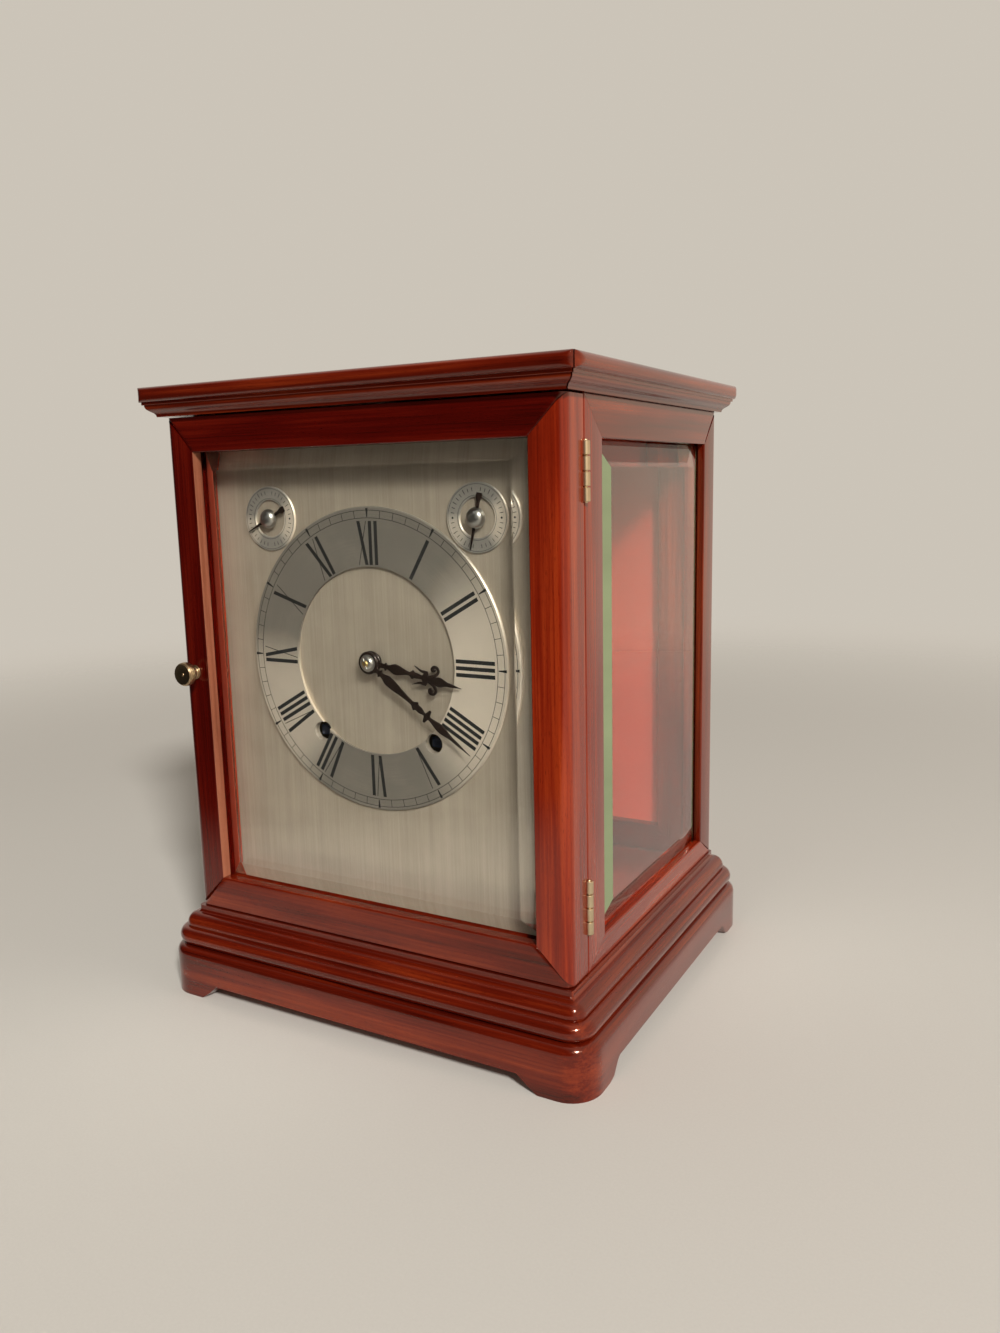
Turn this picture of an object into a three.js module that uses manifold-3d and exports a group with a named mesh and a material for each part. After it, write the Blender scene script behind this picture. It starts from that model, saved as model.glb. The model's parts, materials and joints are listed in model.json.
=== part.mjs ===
// A mahogany four glass mantel clock: glazed front and back doors, glazed sides, a silvered dial
// with two subsidiary dials, and a two train striking movement with a pendulum and a coil gong.
// Millimetres, +Z up, the front faces -Y. The origin is on the floor under the middle of the case.
import * as THREE from "three";
import { mergeVertices } from "three/addons/utils/BufferGeometryUtils.js";
import Module from "manifold-3d";

const wasm = await Module();
wasm.setup();

// Case body between the base moulding and the cornice, with both doors shut
const caseWidth = 209;
const caseDepth = 186.5;
const caseHeight = 243.5;

// Plinth and bracket feet
const plinthHeight = 24.4;
const plinthOverhang = 13.6;
const plinthCorner = 14.5;
const plinthEdge = 4.4;
const plinthWall = 17;
const footLength = 26.1;
const footRise = 7.6;
const bracketRun = 7.5;

// Base moulding, from the torus up to the fillet under the case
const torusOverhang = 11.6;
const torusSwell = 4.3;
const torusHeight = 8.6;
const quirkDepth = 0.7;
const quirkHeight = 0.6;
const ovoloOverhang = 7.2;
const ovoloHeight = 6;
const filletOverhang = 2;
const coveHeight = 2;
const neckOverhang = 0.8;
const neckHeight = 1.4;
const sharpestCorner = 1.5;
const cornerGrowth = 1.2;

// Cornice
const corniceLip = 2.4;
const cymaRun = 3.8;
const cymaHeight = 5.4;
const corniceStep = 0.8;
const stepHeight = 1.2;
const noseSwell = 3;
const noseHeight = 6.9;
const corniceSeat = 5;
const corniceCorner = 7.5;

// Frame members and glass
const doorMember = 16.3;
const doorLip = 5.3;
const doorEdge = 4.8;
const sideStile = 18;
const sideTopRail = 17;
const sideBottomRail = 11;
const sideThickness = 15.5;
const sideLip = 3.5;
const backMember = 15;
const backThickness = 15;
const rearEdge = 3;
const arris = 0.6;
const glassThickness = 6.4;
const glassEdge = 1.8;
const glassBevel = 9.3;
const glassRebate = 4.2;
const grooveWidth = 4.2;

// Clearances
const doorGap = 0.5;
const mitreGap = 0.1;
const glassPlay = 0.2;
const touch = 0.05;
const running = 0.08;
const fit = 0.1;

// How far joined pieces run into each other, and how far cutters run past what they cut
const overlap = 0.5;
const overcut = 4;

// Butt hinges
const hingeLength = 24.5;
const hingeInset = 17.5;
const knuckles = 4;
const knuckleRadius = 1.9;
const knuckleGap = 0.15;
const pinRadius = 0.9;
const pinProud = 0.6;
const leafWidth = 9;
const leafThickness = 0.9;

// Turned knobs
const knobRadius = 5.8;
const knobReach = 9.5;
const knobNeck = 2.3;
const knobCollar = 0.9;
const knobCrown = 1.2;
const knobDot = 0.6;
const dotDepth = 0.4;

// Dial
const dialRise = 8.8;
const dialSetback = 0.5;
const dialThickness = 2;
const dialPlay = 0.3;
const dialFootRadius = 2.5;
const dialFootX = 48;
const dialFootZ = 44;
const ringRadius = 70;
const ringBore = 42.85;
const ringThickness = 1.2;
const winderX = 31.2;
const winderDrop = 35.3;
const winderHole = 4.5;
const subRadius = 15;
const subBore = 8.5;
const subThickness = 0.8;
const subAngle = THREE.MathUtils.degToRad(41);
const subGap = 0.7;

// Hands
const hourLength = 48;
const minuteLength = 64;
const handThickness = 0.9;
const hourLift = 1.2;
const minuteLift = 1.1;
const bossRadius = 5.2;
const stemHalf = 1.1;
const collarHalf = 2;
const swellHalf = 2.4;
const waistHalf = 0.85;
const barbHalf = 2.3;
const crossHalf = 3.2;
const bladeHalf = 2;
const tipHalf = 0.15;
const scrollRoot = 31.2;
const scrollOut = 5.2;
const scrollEnd = 35;
const scrollEye = 1.3;
const thornRoot = 28;
const thornOut = 4.8;
const thornEnd = 22.2;
const thornEye = 0.4;
const colletRadius = 3.9;
const colletHeight = 2.2;
const tipHeight = 0.5;
const handClearance = 0.8;
const subPointer = 13.6;
const subTail = 10.8;
const subLift = 0.7;
const subColletRadius = 4.5;
const subColletHeight = 3.6;
const subColletRim = 1.1;
const subHandThickness = 0.7;
const subHalf = 0.7;
const spadeHalf = 1.5;
const subArborReach = 3;
const subArborRadius = 1.4;
const shownMinutes = 21;
const shownHour = 3;
const slowFastAngle = THREE.MathUtils.degToRad(244);
const strikeAngle = THREE.MathUtils.degToRad(192);

// Movement
const motionSpace = 11.5;
const plateThickness = 3;
const plateSpacing = 44;
const plateWidth = 130;
const plateAbove = 66;
const plateBelow = 70;
const plateCorner = 5;
const pillarInset = 8;
const pillarRadius = 3.4;
const pillarWaist = 2.55;
const pillarBelly = 4.1;
const pillarTaper = 4;
const arborRadius = 2.2;
const pipeWall = 1;
const wheelGap = 1.7;
const wheelRim = 3.6;
const toothDepth = 1.5;
const greatTeeth = 34;
const greatWheelThickness = 2.4;
const barrelLength = 30;
const barrelHub = 3;
const barrelRim = 2;
const capDepth = 0.8;
const winderRadius = 3;
const winderSquare = 4.4;
const winderRecess = 1.2;
const centreWheelRadius = 19;
const centreTeeth = 28;
const centreRim = 2;
const centreWheelThickness = 1.6;
const centreWheelGap = 2;
const spokes = 5;
const seatThickness = 9;
const seatWidth = 150;
const seatMargin = 4;
const cheekThickness = 10;
const cheekWaist = 9;

// Pendulum, hung from a cock on the back plate
const pendulumGap = 12;
const pivotRise = 57;
const pivotRadius = 1;
const cockWidth = 16;
const cockHeight = 13;
const cockWall = 5;
const springPlay = 1;
const springWidth = 5;
const springThickness = 0.6;
const springLength = 20;
const springTop = 1.4;
const blockWidth = 4.4;
const blockDepth = 5.2;
const blockHeight = 7;
const rodRadius = 1.3;
const bobRadius = 21;
const bobThickness = 10;
const nutRadius = 4;
const nutHeight = 4;
const rodTail = 3;
const bobRim = 1.6;
const pendulumFloorGap = 14;

// Coil gong and hammer
const gongGap = 27;
const gongLoops = 4;
const gongStart = 12;
const gongPitch = 6.4;
const gongWire = 1.2;
const gongFloorGap = 9;
const standWidth = 46;
const standDepth = 24;
const standFoot = 5;
const standPost = 7;
const postThickness = 6;
const postGap = 2;
const holderWall = 0.8;
const holderWidth = 5;
const holderHeight = 4.2;
const wireGap = 0.3;
const hammerRise = 12;
const hammerGap = 1.6;
const hammerHeadRadius = 4.5;
const hammerHeadLength = 9;
const hammerArm = 1.2;
const hammerArbor = 2;
const hammerHub = 3.6;
const hammerHubLength = 6;

// Levels and planes that follow from the sizes above
const mouldingHeight =
  torusHeight + quirkHeight + ovoloHeight + coveHeight + neckHeight;
const corniceHeight = cymaHeight + stepHeight + noseHeight;
const corniceOverhang = corniceLip + cymaRun + corniceStep + noseSwell;
const floorZ = plinthHeight + mouldingHeight;
const corniceZ = floorZ + caseHeight;
const halfWidth = caseWidth / 2;
const halfDepth = caseDepth / 2;
const handStack =
  ringThickness + hourLift + handThickness + minuteLift + handThickness + colletHeight + tipHeight;
const doorBackLip = handStack + handClearance - doorGap - dialSetback;
const doorThickness = doorLip + grooveWidth + doorBackLip;
const frontY = -halfDepth;
const gapY = frontY + doorThickness + doorGap / 2;
const sideFrontY = gapY + doorGap / 2;
const sideLength = halfDepth - sideFrontY;
const innerHalf = halfWidth - sideThickness;
const dialY = sideFrontY + dialSetback;
const dialZ = floorZ + caseHeight / 2 + dialRise;
const subDistance = ringRadius + subRadius + subGap;
const subX = subDistance * Math.sin(subAngle);
const subZ = subDistance * Math.cos(subAngle);
const frontPlateY = dialY + dialThickness + motionSpace;
const backPlateY = frontPlateY + plateThickness + plateSpacing;
const movementBackY = backPlateY + plateThickness;
const greatWheelRadius = winderX - wheelGap;
const barrelRadius = greatWheelRadius - wheelRim;
const pendulumY = movementBackY + pendulumGap;
const pivotZ = dialZ + pivotRise;
const gongY = movementBackY + gongGap;
const gongRadius = gongStart + gongPitch * gongLoops;
const gongZ = floorZ + gongFloorGap + gongRadius + gongWire;

// A closed surface as a solid, turned right side out
function toSolid(geometry) {
  const bare = new THREE.BufferGeometry();
  bare.setAttribute("position", geometry.getAttribute("position"));
  bare.setIndex(geometry.index);
  const merged = mergeVertices(bare, 1e-4);
  const triangles = [];
  for (let i = 0; i < merged.index.count; i += 3) {
    const a = merged.index.getX(i);
    const b = merged.index.getX(i + 1);
    const c = merged.index.getX(i + 2);
    if (a !== b && b !== c && c !== a) triangles.push([a, b, c]);
  }
  const build = (list) =>
    new wasm.Manifold(
      new wasm.Mesh({
        numProp: 3,
        vertProperties: merged.attributes.position.array,
        triVerts: new Uint32Array(list.flat()),
      }),
    );
  const solid = build(triangles);
  if (solid.volume() > 0) return solid;
  return build(triangles.map(([a, b, c]) => [a, c, b]));
}

function toGeometry(solid) {
  const mesh = solid.getMesh();
  const geometry = new THREE.BufferGeometry();
  geometry.setAttribute("position", new THREE.BufferAttribute(mesh.vertProperties, 3));
  geometry.setIndex(new THREE.BufferAttribute(mesh.triVerts, 1));
  geometry.computeVertexNormals();
  return geometry;
}

function join(...geometries) {
  return toGeometry(geometries.map(toSolid).reduce((whole, piece) => whole.add(piece)));
}

function cut(geometry, ...tools) {
  const solid = tools.map(toSolid).reduce((whole, tool) => whole.subtract(tool), toSolid(geometry));
  return toGeometry(solid);
}

function common(a, b) {
  return toGeometry(toSolid(a).intersect(toSolid(b)));
}

function at(geometry, x, y, z) {
  return geometry.clone().translate(x, y, z);
}

function box(x0, x1, y0, y1, z0, z1) {
  const geometry = new THREE.BoxGeometry(x1 - x0, y1 - y0, z1 - z0);
  return geometry.translate((x0 + x1) / 2, (y0 + y1) / 2, (z0 + z1) / 2);
}

// A round bar along Y from y0 to y1
function barY(radius, y0, y1, sides = 20) {
  const geometry = new THREE.CylinderGeometry(radius, radius, y1 - y0, sides);
  return geometry.translate(0, (y0 + y1) / 2, 0);
}

// A round bar along Z from z0 to z1
function barZ(radius, z0, z1, sides = 10) {
  const geometry = new THREE.CylinderGeometry(radius, radius, z1 - z0, sides);
  return geometry.rotateX(Math.PI / 2).translate(0, 0, (z0 + z1) / 2);
}

// A profile of [radius, y] points turned about Y
function turned(points, sides = 28) {
  const profile = points.map(([radius, y]) => new THREE.Vector2(radius, y));
  return toGeometry(toSolid(new THREE.LatheGeometry(profile, sides)));
}

// A shape drawn in x and z, extruded from y0 back to y1
function sheet(shape, y0, y1, curveSegments = 10) {
  const geometry = new THREE.ExtrudeGeometry(shape, {
    depth: y1 - y0,
    bevelEnabled: false,
    curveSegments,
  });
  return geometry.rotateX(Math.PI / 2).translate(0, y1, 0);
}

// A shape drawn in x and y, extruded from z0 up to z1
function slab(shape, z0, z1, curveSegments = 6) {
  const geometry = new THREE.ExtrudeGeometry(shape, {
    depth: z1 - z0,
    bevelEnabled: false,
    curveSegments,
  });
  return geometry.translate(0, 0, z0);
}

function roundedRectangle(halfX, bottom, top, radius) {
  const shape = new THREE.Shape();
  shape.moveTo(-halfX + radius, bottom);
  shape.lineTo(halfX - radius, bottom);
  shape.quadraticCurveTo(halfX, bottom, halfX, bottom + radius);
  shape.lineTo(halfX, top - radius);
  shape.quadraticCurveTo(halfX, top, halfX - radius, top);
  shape.lineTo(-halfX + radius, top);
  shape.quadraticCurveTo(-halfX, top, -halfX, top - radius);
  shape.lineTo(-halfX, bottom + radius);
  shape.quadraticCurveTo(-halfX, bottom, -halfX + radius, bottom);
  return shape;
}

// A bar along X whose profile holds (inward offset, depth) points, as z and y.
// An end with slope s starts s later for each millimetre of inward offset, so 1 is a mitre.
function mitredBar(profile, length, startSlope, endSlope) {
  const outline = profile.filter((p, i) => p.distanceTo(profile[(i + 1) % profile.length]) > 1e-6);
  if (THREE.ShapeUtils.isClockWise(outline)) outline.reverse();
  const count = outline.length;
  const positions = [];
  for (const end of [0, 1]) {
    for (const p of outline) {
      const x = end
        ? length - p.x * endSlope - mitreGap / 2
        : p.x * startSlope + mitreGap / 2;
      positions.push(x, p.y, p.x);
    }
  }
  const index = [];
  for (let i = 0; i < count; i += 1) {
    const next = (i + 1) % count;
    index.push(i, next, count + next, i, count + next, count + i);
  }
  for (const [a, b, c] of THREE.ShapeUtils.triangulateShape(outline, [])) {
    index.push(a, c, b, count + a, count + b, count + c);
  }
  const geometry = new THREE.BufferGeometry();
  geometry.setAttribute("position", new THREE.Float32BufferAttribute(positions, 3));
  geometry.setIndex(index);
  return toGeometry(toSolid(geometry));
}

// A slab lofted through level outlines: each profile point is (overhang, z), and the outline there
// is a rectangle grown by the overhang with corners of the given radius.
function mouldedSlab(profile, halfX, halfY, cornerAt, cornerSteps) {
  const positions = [];
  const loop = 4 * (cornerSteps + 1);
  for (const p of profile) {
    const radius = cornerAt(p.x);
    const x = halfX + p.x - radius;
    const y = halfY + p.x - radius;
    const centres = [[x, y], [-x, y], [-x, -y], [x, -y]];
    centres.forEach(([cx, cy], corner) => {
      for (let step = 0; step <= cornerSteps; step += 1) {
        const turn = corner + (cornerSteps ? step / cornerSteps : 0.5);
        const angle = (turn * Math.PI) / 2;
        const reach = cornerSteps ? radius : radius * Math.SQRT2;
        positions.push(cx + reach * Math.cos(angle), cy + reach * Math.sin(angle), p.y);
      }
    });
  }
  const index = [];
  for (let level = 0; level < profile.length - 1; level += 1) {
    for (let i = 0; i < loop; i += 1) {
      const a = level * loop + i;
      const b = level * loop + ((i + 1) % loop);
      index.push(a, b, b + loop, a, b + loop, a + loop);
    }
  }
  const last = (profile.length - 1) * loop;
  for (let i = 1; i < loop - 1; i += 1) {
    index.push(0, i + 1, i, last, last + i, last + i + 1);
  }
  const geometry = new THREE.BufferGeometry();
  geometry.setAttribute("position", new THREE.Float32BufferAttribute(positions, 3));
  geometry.setIndex(index);
  return toGeometry(toSolid(geometry));
}

// Materials
function mahogany() {
  return new THREE.MeshStandardMaterial({ color: 0x6a1f10, roughness: 0.25, metalness: 0 });
}

function darkWood() {
  return new THREE.MeshStandardMaterial({ color: 0x4a2416, roughness: 0.5, metalness: 0 });
}

function brass() {
  return new THREE.MeshStandardMaterial({ color: 0xc2a36a, roughness: 0.3, metalness: 1 });
}

function silvered() {
  return new THREE.MeshStandardMaterial({ color: 0xc4bcab, roughness: 0.42, metalness: 0.9 });
}

function steel() {
  return new THREE.MeshStandardMaterial({ color: 0x77746e, roughness: 0.3, metalness: 1 });
}

function bluedSteel() {
  return new THREE.MeshStandardMaterial({ color: 0x241a14, roughness: 0.35, metalness: 0.8 });
}

function castIron() {
  return new THREE.MeshStandardMaterial({ color: 0x2b2a29, roughness: 0.6, metalness: 0.7 });
}

function glassSheet() {
  return new THREE.MeshStandardMaterial({
    color: 0xdfe8e2,
    roughness: 0.03,
    metalness: 0,
    transparent: true,
    opacity: 0.25,
  });
}

const clock = new THREE.Group();

function piece(parent, name, geometry, material) {
  const mesh = new THREE.Mesh(geometry, material);
  mesh.name = name;
  parent.add(mesh);
  return mesh;
}

// Base: a plinth with bracket feet, hollow underneath, and a moulded board on it
const base = new THREE.Group();
clock.add(base);

// The corners round off more the further the base stands out
function baseCorner(overhang) {
  return Math.max(sharpestCorner, plinthCorner - cornerGrowth * (plinthOverhang - overhang));
}

function plinthGeometry() {
  const profile = new THREE.Path();
  profile.moveTo(plinthOverhang, 0);
  profile.lineTo(plinthOverhang, plinthHeight - plinthEdge);
  profile.absarc(plinthOverhang - plinthEdge, plinthHeight - plinthEdge, plinthEdge, 0, Math.PI / 2);
  const block = mouldedSlab(profile.getPoints(5), halfWidth, halfDepth, baseCorner, 5);
  const outX = halfWidth + plinthOverhang;
  const outY = halfDepth + plinthOverhang;
  const hollow = box(
    plinthWall - outX,
    outX - plinthWall,
    plinthWall - outY,
    outY - plinthWall,
    -1,
    plinthHeight + 1,
  );
  // The gap between two feet, with a hollow curve at each bracket
  const gap = (half) => {
    const inner = half - footLength;
    const shape = new THREE.Shape();
    shape.moveTo(-inner, -1);
    shape.lineTo(-inner, 0);
    shape.quadraticCurveTo(bracketRun / 2 - inner, footRise * 0.85, bracketRun - inner, footRise);
    shape.lineTo(inner - bracketRun, footRise);
    shape.quadraticCurveTo(inner - bracketRun / 2, footRise * 0.85, inner, 0);
    shape.lineTo(inner, -1);
    return shape;
  };
  const frontGap = sheet(gap(outX), -outY - 1, outY + 1, 6);
  const sideGap = sheet(gap(outY), -outX - 1, outX + 1, 6).rotateZ(Math.PI / 2);
  return cut(block, hollow, frontGap, sideGap);
}
piece(base, "plinth", plinthGeometry(), mahogany());

function mouldingGeometry() {
  const torusCore = torusOverhang - torusSwell;
  const ovoloZ = torusHeight + quirkHeight;
  const coveZ = ovoloZ + ovoloHeight;
  const profile = new THREE.Path();
  profile.moveTo(torusCore, 0);
  profile.absellipse(torusCore, torusHeight / 2, torusSwell, torusHeight / 2, -Math.PI / 2, Math.PI / 2);
  profile.lineTo(torusCore - quirkDepth, torusHeight);
  profile.lineTo(torusCore - quirkDepth, ovoloZ);
  profile.lineTo(ovoloOverhang, ovoloZ);
  const ovoloRun = ovoloOverhang - filletOverhang;
  profile.absellipse(filletOverhang, ovoloZ, ovoloRun, ovoloHeight, 0, Math.PI / 2);
  profile.quadraticCurveTo(neckOverhang, coveZ, neckOverhang, coveZ + coveHeight);
  profile.lineTo(neckOverhang, coveZ + coveHeight + neckHeight);
  return mouldedSlab(profile.getPoints(4), halfWidth, halfDepth, baseCorner, 4);
}
const moulding = piece(base, "base_moulding", mouldingGeometry(), mahogany());
moulding.position.z = plinthHeight + touch;

// Cornice: four mitred strips round a flat top board
const cornice = new THREE.Group();
cornice.position.z = corniceZ + touch;
clock.add(cornice);

// Profile as (inward offset, height), so what stands out from the case is negative
function corniceProfile() {
  const cyma = -corniceLip - cymaRun;
  const step = cyma - corniceStep;
  const stepTop = cymaHeight + stepHeight;
  const noseZ = stepTop + noseHeight / 2;
  const shape = new THREE.Shape();
  shape.moveTo(corniceSeat, 0);
  shape.lineTo(-corniceLip, 0);
  shape.bezierCurveTo(-corniceLip, cymaHeight * 0.5, cyma, cymaHeight * 0.4, cyma, cymaHeight);
  shape.lineTo(step, cymaHeight);
  shape.lineTo(step, stepTop);
  shape.absellipse(step, noseZ, noseSwell, noseHeight / 2, Math.PI * 1.5, Math.PI / 2, true);
  shape.lineTo(corniceSeat, corniceHeight);
  return shape.getPoints(8);
}

// The four corners are rounded over together
const corniceBlank = slab(
  roundedRectangle(
    halfWidth + corniceOverhang,
    -halfDepth - corniceOverhang,
    halfDepth + corniceOverhang,
    corniceCorner,
  ),
  -1,
  corniceHeight + 1,
);

// A strip along X, its inward side towards +Y, turned about Z and set at a corner of the case
function corniceStrip(name, length, turn, x, y) {
  const upright = new THREE.Matrix4().set(1, 0, 0, 0, 0, 0, 1, 0, 0, 1, 0, 0, 0, 0, 0, 1);
  const place = new THREE.Matrix4().makeRotationZ(turn).setPosition(x, y, 0);
  const strip = mitredBar(corniceProfile(), length, 1, 1);
  piece(cornice, name, common(corniceBlank, strip.applyMatrix4(place.multiply(upright))), mahogany());
}
corniceStrip("cornice_front", caseWidth, 0, -halfWidth, -halfDepth);
corniceStrip("cornice_right", caseDepth, Math.PI / 2, halfWidth, -halfDepth);
corniceStrip("cornice_back", caseWidth, Math.PI, halfWidth, halfDepth);
corniceStrip("cornice_left", caseDepth, -Math.PI / 2, -halfWidth, halfDepth);

const boardX = halfWidth - corniceSeat - touch;
const boardY = halfDepth - corniceSeat - touch;
piece(cornice, "top_board", box(-boardX, boardX, -boardY, boardY, 0, corniceHeight), mahogany());

// A mitred and glazed frame seen from outside: x to the right, z up and y into its thickness,
// with its lower left corner at 0. The blank's two upright outer edges are rounded.
function framedPanel(parent, names, size) {
  const plan = new THREE.Shape();
  plan.moveTo(size.leftEdge, 0);
  plan.lineTo(size.width - size.rightEdge, 0);
  plan.quadraticCurveTo(size.width, 0, size.width, size.rightEdge);
  plan.lineTo(size.width, size.thickness);
  plan.lineTo(0, size.thickness);
  plan.lineTo(0, size.leftEdge);
  plan.quadraticCurveTo(0, 0, size.leftEdge, 0);
  const blank = slab(plan, 0, size.height, 7);

  const section = (width) => {
    const rebate = width - glassRebate;
    return [
      [0, 0],
      [width - arris, 0],
      [width, arris],
      [width, size.lip],
      [rebate, size.lip],
      [rebate, size.lip + grooveWidth],
      [width, size.lip + grooveWidth],
      [width, size.thickness],
      [0, size.thickness],
    ].map(([inward, depth]) => new THREE.Vector2(inward, depth));
  };
  const member = (name, width, length, before, after, turn, x, z) => {
    const bar = mitredBar(section(width), length, before / width, after / width);
    const place = new THREE.Matrix4().makeRotationY(turn).setPosition(x, 0, z);
    piece(parent, name, common(blank, bar.applyMatrix4(place)), mahogany());
  };
  const { width, height, left, right, top, bottom } = size;
  member(names.bottom, bottom, width, left, right, 0, 0, 0);
  member(names.right, right, height, bottom, top, -Math.PI / 2, width, 0);
  member(names.top, top, width, right, left, Math.PI, width, height);
  member(names.left, left, height, top, bottom, Math.PI / 2, 0, height);

  // The glass is thin at its edge, which lies in the groove, and bevelled on its outer face
  const grip = glassRebate - glassPlay;
  const halfX = (width - left - right) / 2 + grip;
  const halfZ = (height - top - bottom) / 2 + grip;
  const profile = [
    new THREE.Vector2(0, 0),
    new THREE.Vector2(0, glassEdge),
    new THREE.Vector2(-glassBevel - grip, glassThickness),
  ];
  const glass = mouldedSlab(profile, halfX, halfZ, () => 0, 0).rotateX(Math.PI / 2);
  const pane = piece(parent, names.glass, glass, glassSheet());
  pane.position.set(
    (width + left - right) / 2,
    size.lip + grooveWidth - glassPlay / 2,
    (height + bottom - top) / 2,
  );
}

// Glazed sides, standing on the base between the front door and the back
const sideSize = {
  width: sideLength,
  height: caseHeight - 2 * touch,
  top: sideTopRail,
  bottom: sideBottomRail,
  left: sideStile,
  right: sideStile,
  thickness: sideThickness,
  lip: sideLip,
};
const caseZ = floorZ + 2 * touch;

const rightSide = new THREE.Group();
rightSide.position.set(halfWidth, sideFrontY, caseZ);
rightSide.rotation.z = Math.PI / 2;
clock.add(rightSide);
framedPanel(
  rightSide,
  {
    left: "right_front_stile",
    right: "right_rear_stile",
    top: "right_top_rail",
    bottom: "right_bottom_rail",
    glass: "right_glass",
  },
  { ...sideSize, leftEdge: arris, rightEdge: rearEdge },
);

const leftSide = new THREE.Group();
leftSide.position.set(-halfWidth, halfDepth, caseZ);
leftSide.rotation.z = -Math.PI / 2;
clock.add(leftSide);
framedPanel(
  leftSide,
  {
    left: "left_rear_stile",
    right: "left_front_stile",
    top: "left_top_rail",
    bottom: "left_bottom_rail",
    glass: "left_glass",
  },
  { ...sideSize, leftEdge: rearEdge, rightEdge: arris },
);

// Front door, as wide as the case and hinged on the right
const frontDoor = new THREE.Group();
frontDoor.position.set(-halfWidth, frontY, caseZ + doorGap);
clock.add(frontDoor);
const doorHeight = caseHeight - 2 * doorGap - 2 * touch;
framedPanel(
  frontDoor,
  {
    left: "door_left_stile",
    right: "door_right_stile",
    top: "door_top_rail",
    bottom: "door_bottom_rail",
    glass: "door_glass",
  },
  {
    width: caseWidth,
    height: doorHeight,
    top: doorMember,
    bottom: doorMember,
    left: doorMember,
    right: doorMember,
    thickness: doorThickness,
    lip: doorLip,
    leftEdge: doorEdge,
    rightEdge: doorEdge,
  },
);

// Back door, set in between the sides and hinged on the right as seen from behind
const backWidth = 2 * innerHalf - 2 * doorGap;
const backDoor = new THREE.Group();
backDoor.position.set(backWidth / 2, halfDepth, caseZ + doorGap);
backDoor.rotation.z = Math.PI;
clock.add(backDoor);
framedPanel(
  backDoor,
  {
    left: "back_left_stile",
    right: "back_right_stile",
    top: "back_top_rail",
    bottom: "back_bottom_rail",
    glass: "back_glass",
  },
  {
    width: backWidth,
    height: doorHeight,
    top: backMember,
    bottom: backMember,
    left: backMember,
    right: backMember,
    thickness: backThickness,
    lip: doorLip,
    leftEdge: arris,
    rightEdge: arris,
  },
);

// Turned knob on the stile opposite the hinges: neck, bulb and a slightly domed face with an eye
function knobGeometry() {
  const face = knobReach - knobCrown;
  const profile = new THREE.Path();
  profile.moveTo(0, -touch);
  profile.lineTo(knobNeck + knobCollar, -touch);
  profile.lineTo(knobNeck + knobCollar, -knobCollar);
  profile.quadraticCurveTo(knobNeck, -knobCollar, knobNeck, -knobReach * 0.25);
  profile.quadraticCurveTo(knobRadius, -knobReach * 0.38, knobRadius, -knobReach * 0.66);
  profile.quadraticCurveTo(knobRadius, -face, knobRadius - knobCollar, -face);
  profile.quadraticCurveTo(knobRadius * 0.4, -knobReach, knobDot * 1.5, -knobReach);
  profile.lineTo(knobDot, -knobReach + dotDepth);
  profile.lineTo(0, -knobReach + dotDepth);
  return turned(profile.getPoints(4).map((p) => [p.x, p.y]), 16);
}
const doorKnob = piece(frontDoor, "door_knob", knobGeometry(), brass());
doorKnob.position.set(doorMember / 2, 0, doorHeight / 2);
const backKnob = piece(backDoor, "back_knob", knobGeometry(), brass());
backKnob.position.set(backMember / 2, 0, doorHeight / 2);

// Butt hinge about Z: leaves towards -X, the door's on the -Y side and the case's on the +Y side
const knucklePitch = hingeLength / knuckles;
function leafGeometry(isDoor) {
  const y0 = isDoor ? -touch - leafThickness : touch;
  const y1 = y0 + leafThickness;
  const root = -knuckleRadius - 2 * fit;
  const pieces = [box(-leafWidth, root, y0, y1, 0, hingeLength)];
  for (let k = 0; k < knuckles; k += 1) {
    if ((k % 2 === 0) === isDoor) continue;
    const z0 = k * knucklePitch + knuckleGap / 2;
    const z1 = (k + 1) * knucklePitch - knuckleGap / 2;
    pieces.push(box(root - fit, 0, y0, y1, z0, z1));
    pieces.push(barZ(knuckleRadius, z0, z1));
  }
  if (!isDoor) return join(...pieces, barZ(pinRadius, 0, hingeLength));
  return cut(join(...pieces), barZ(pinRadius + running, -overcut, hingeLength + overcut));
}

// What the hinge needs cut out of the two edges that it joins
function hingeHousing() {
  const deep = touch + leafThickness + fit;
  return join(
    box(-leafWidth - fit, 0, -deep, deep, -fit, hingeLength + fit),
    barZ(knuckleRadius + 3 * fit, -fit, hingeLength + fit),
  );
}

const hingeLevels = { upper: doorHeight - hingeInset - hingeLength, lower: hingeInset };
const housings = [];
function hang(door, x, y, turn, doorName, caseName) {
  for (const [level, z] of Object.entries(hingeLevels)) {
    const hinge = new THREE.Group();
    hinge.position.set(x, y, z);
    hinge.rotation.z = turn;
    door.add(hinge);
    piece(hinge, doorName.replace("LEVEL", level), leafGeometry(true), brass());
    piece(hinge, caseName.replace("LEVEL", level), leafGeometry(false), brass());
    housings.push(hinge);
  }
}
const pinX = caseWidth + pinProud;
hang(frontDoor, pinX, doorThickness + doorGap / 2, 0, "door_LEVEL_leaf", "case_LEVEL_leaf");
hang(backDoor, backWidth + doorGap / 2, -pinProud, -Math.PI / 2, "back_LEVEL_leaf", "rear_case_LEVEL_leaf");

// Let each hinge into the stiles on both sides of it
clock.updateMatrixWorld(true);
for (const name of ["door_right_stile", "right_front_stile", "back_right_stile", "left_rear_stile"]) {
  const stile = clock.getObjectByName(name);
  const inward = stile.matrixWorld.clone().invert();
  const tools = housings.map((hinge) =>
    hingeHousing().applyMatrix4(inward.clone().multiply(hinge.matrixWorld)),
  );
  stile.geometry = cut(stile.geometry, ...tools);
}

// Dial, with y 0 on its face and z 0 at the hands
const dial = new THREE.Group();
dial.position.set(0, dialY, dialZ);
clock.add(dial);

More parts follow.
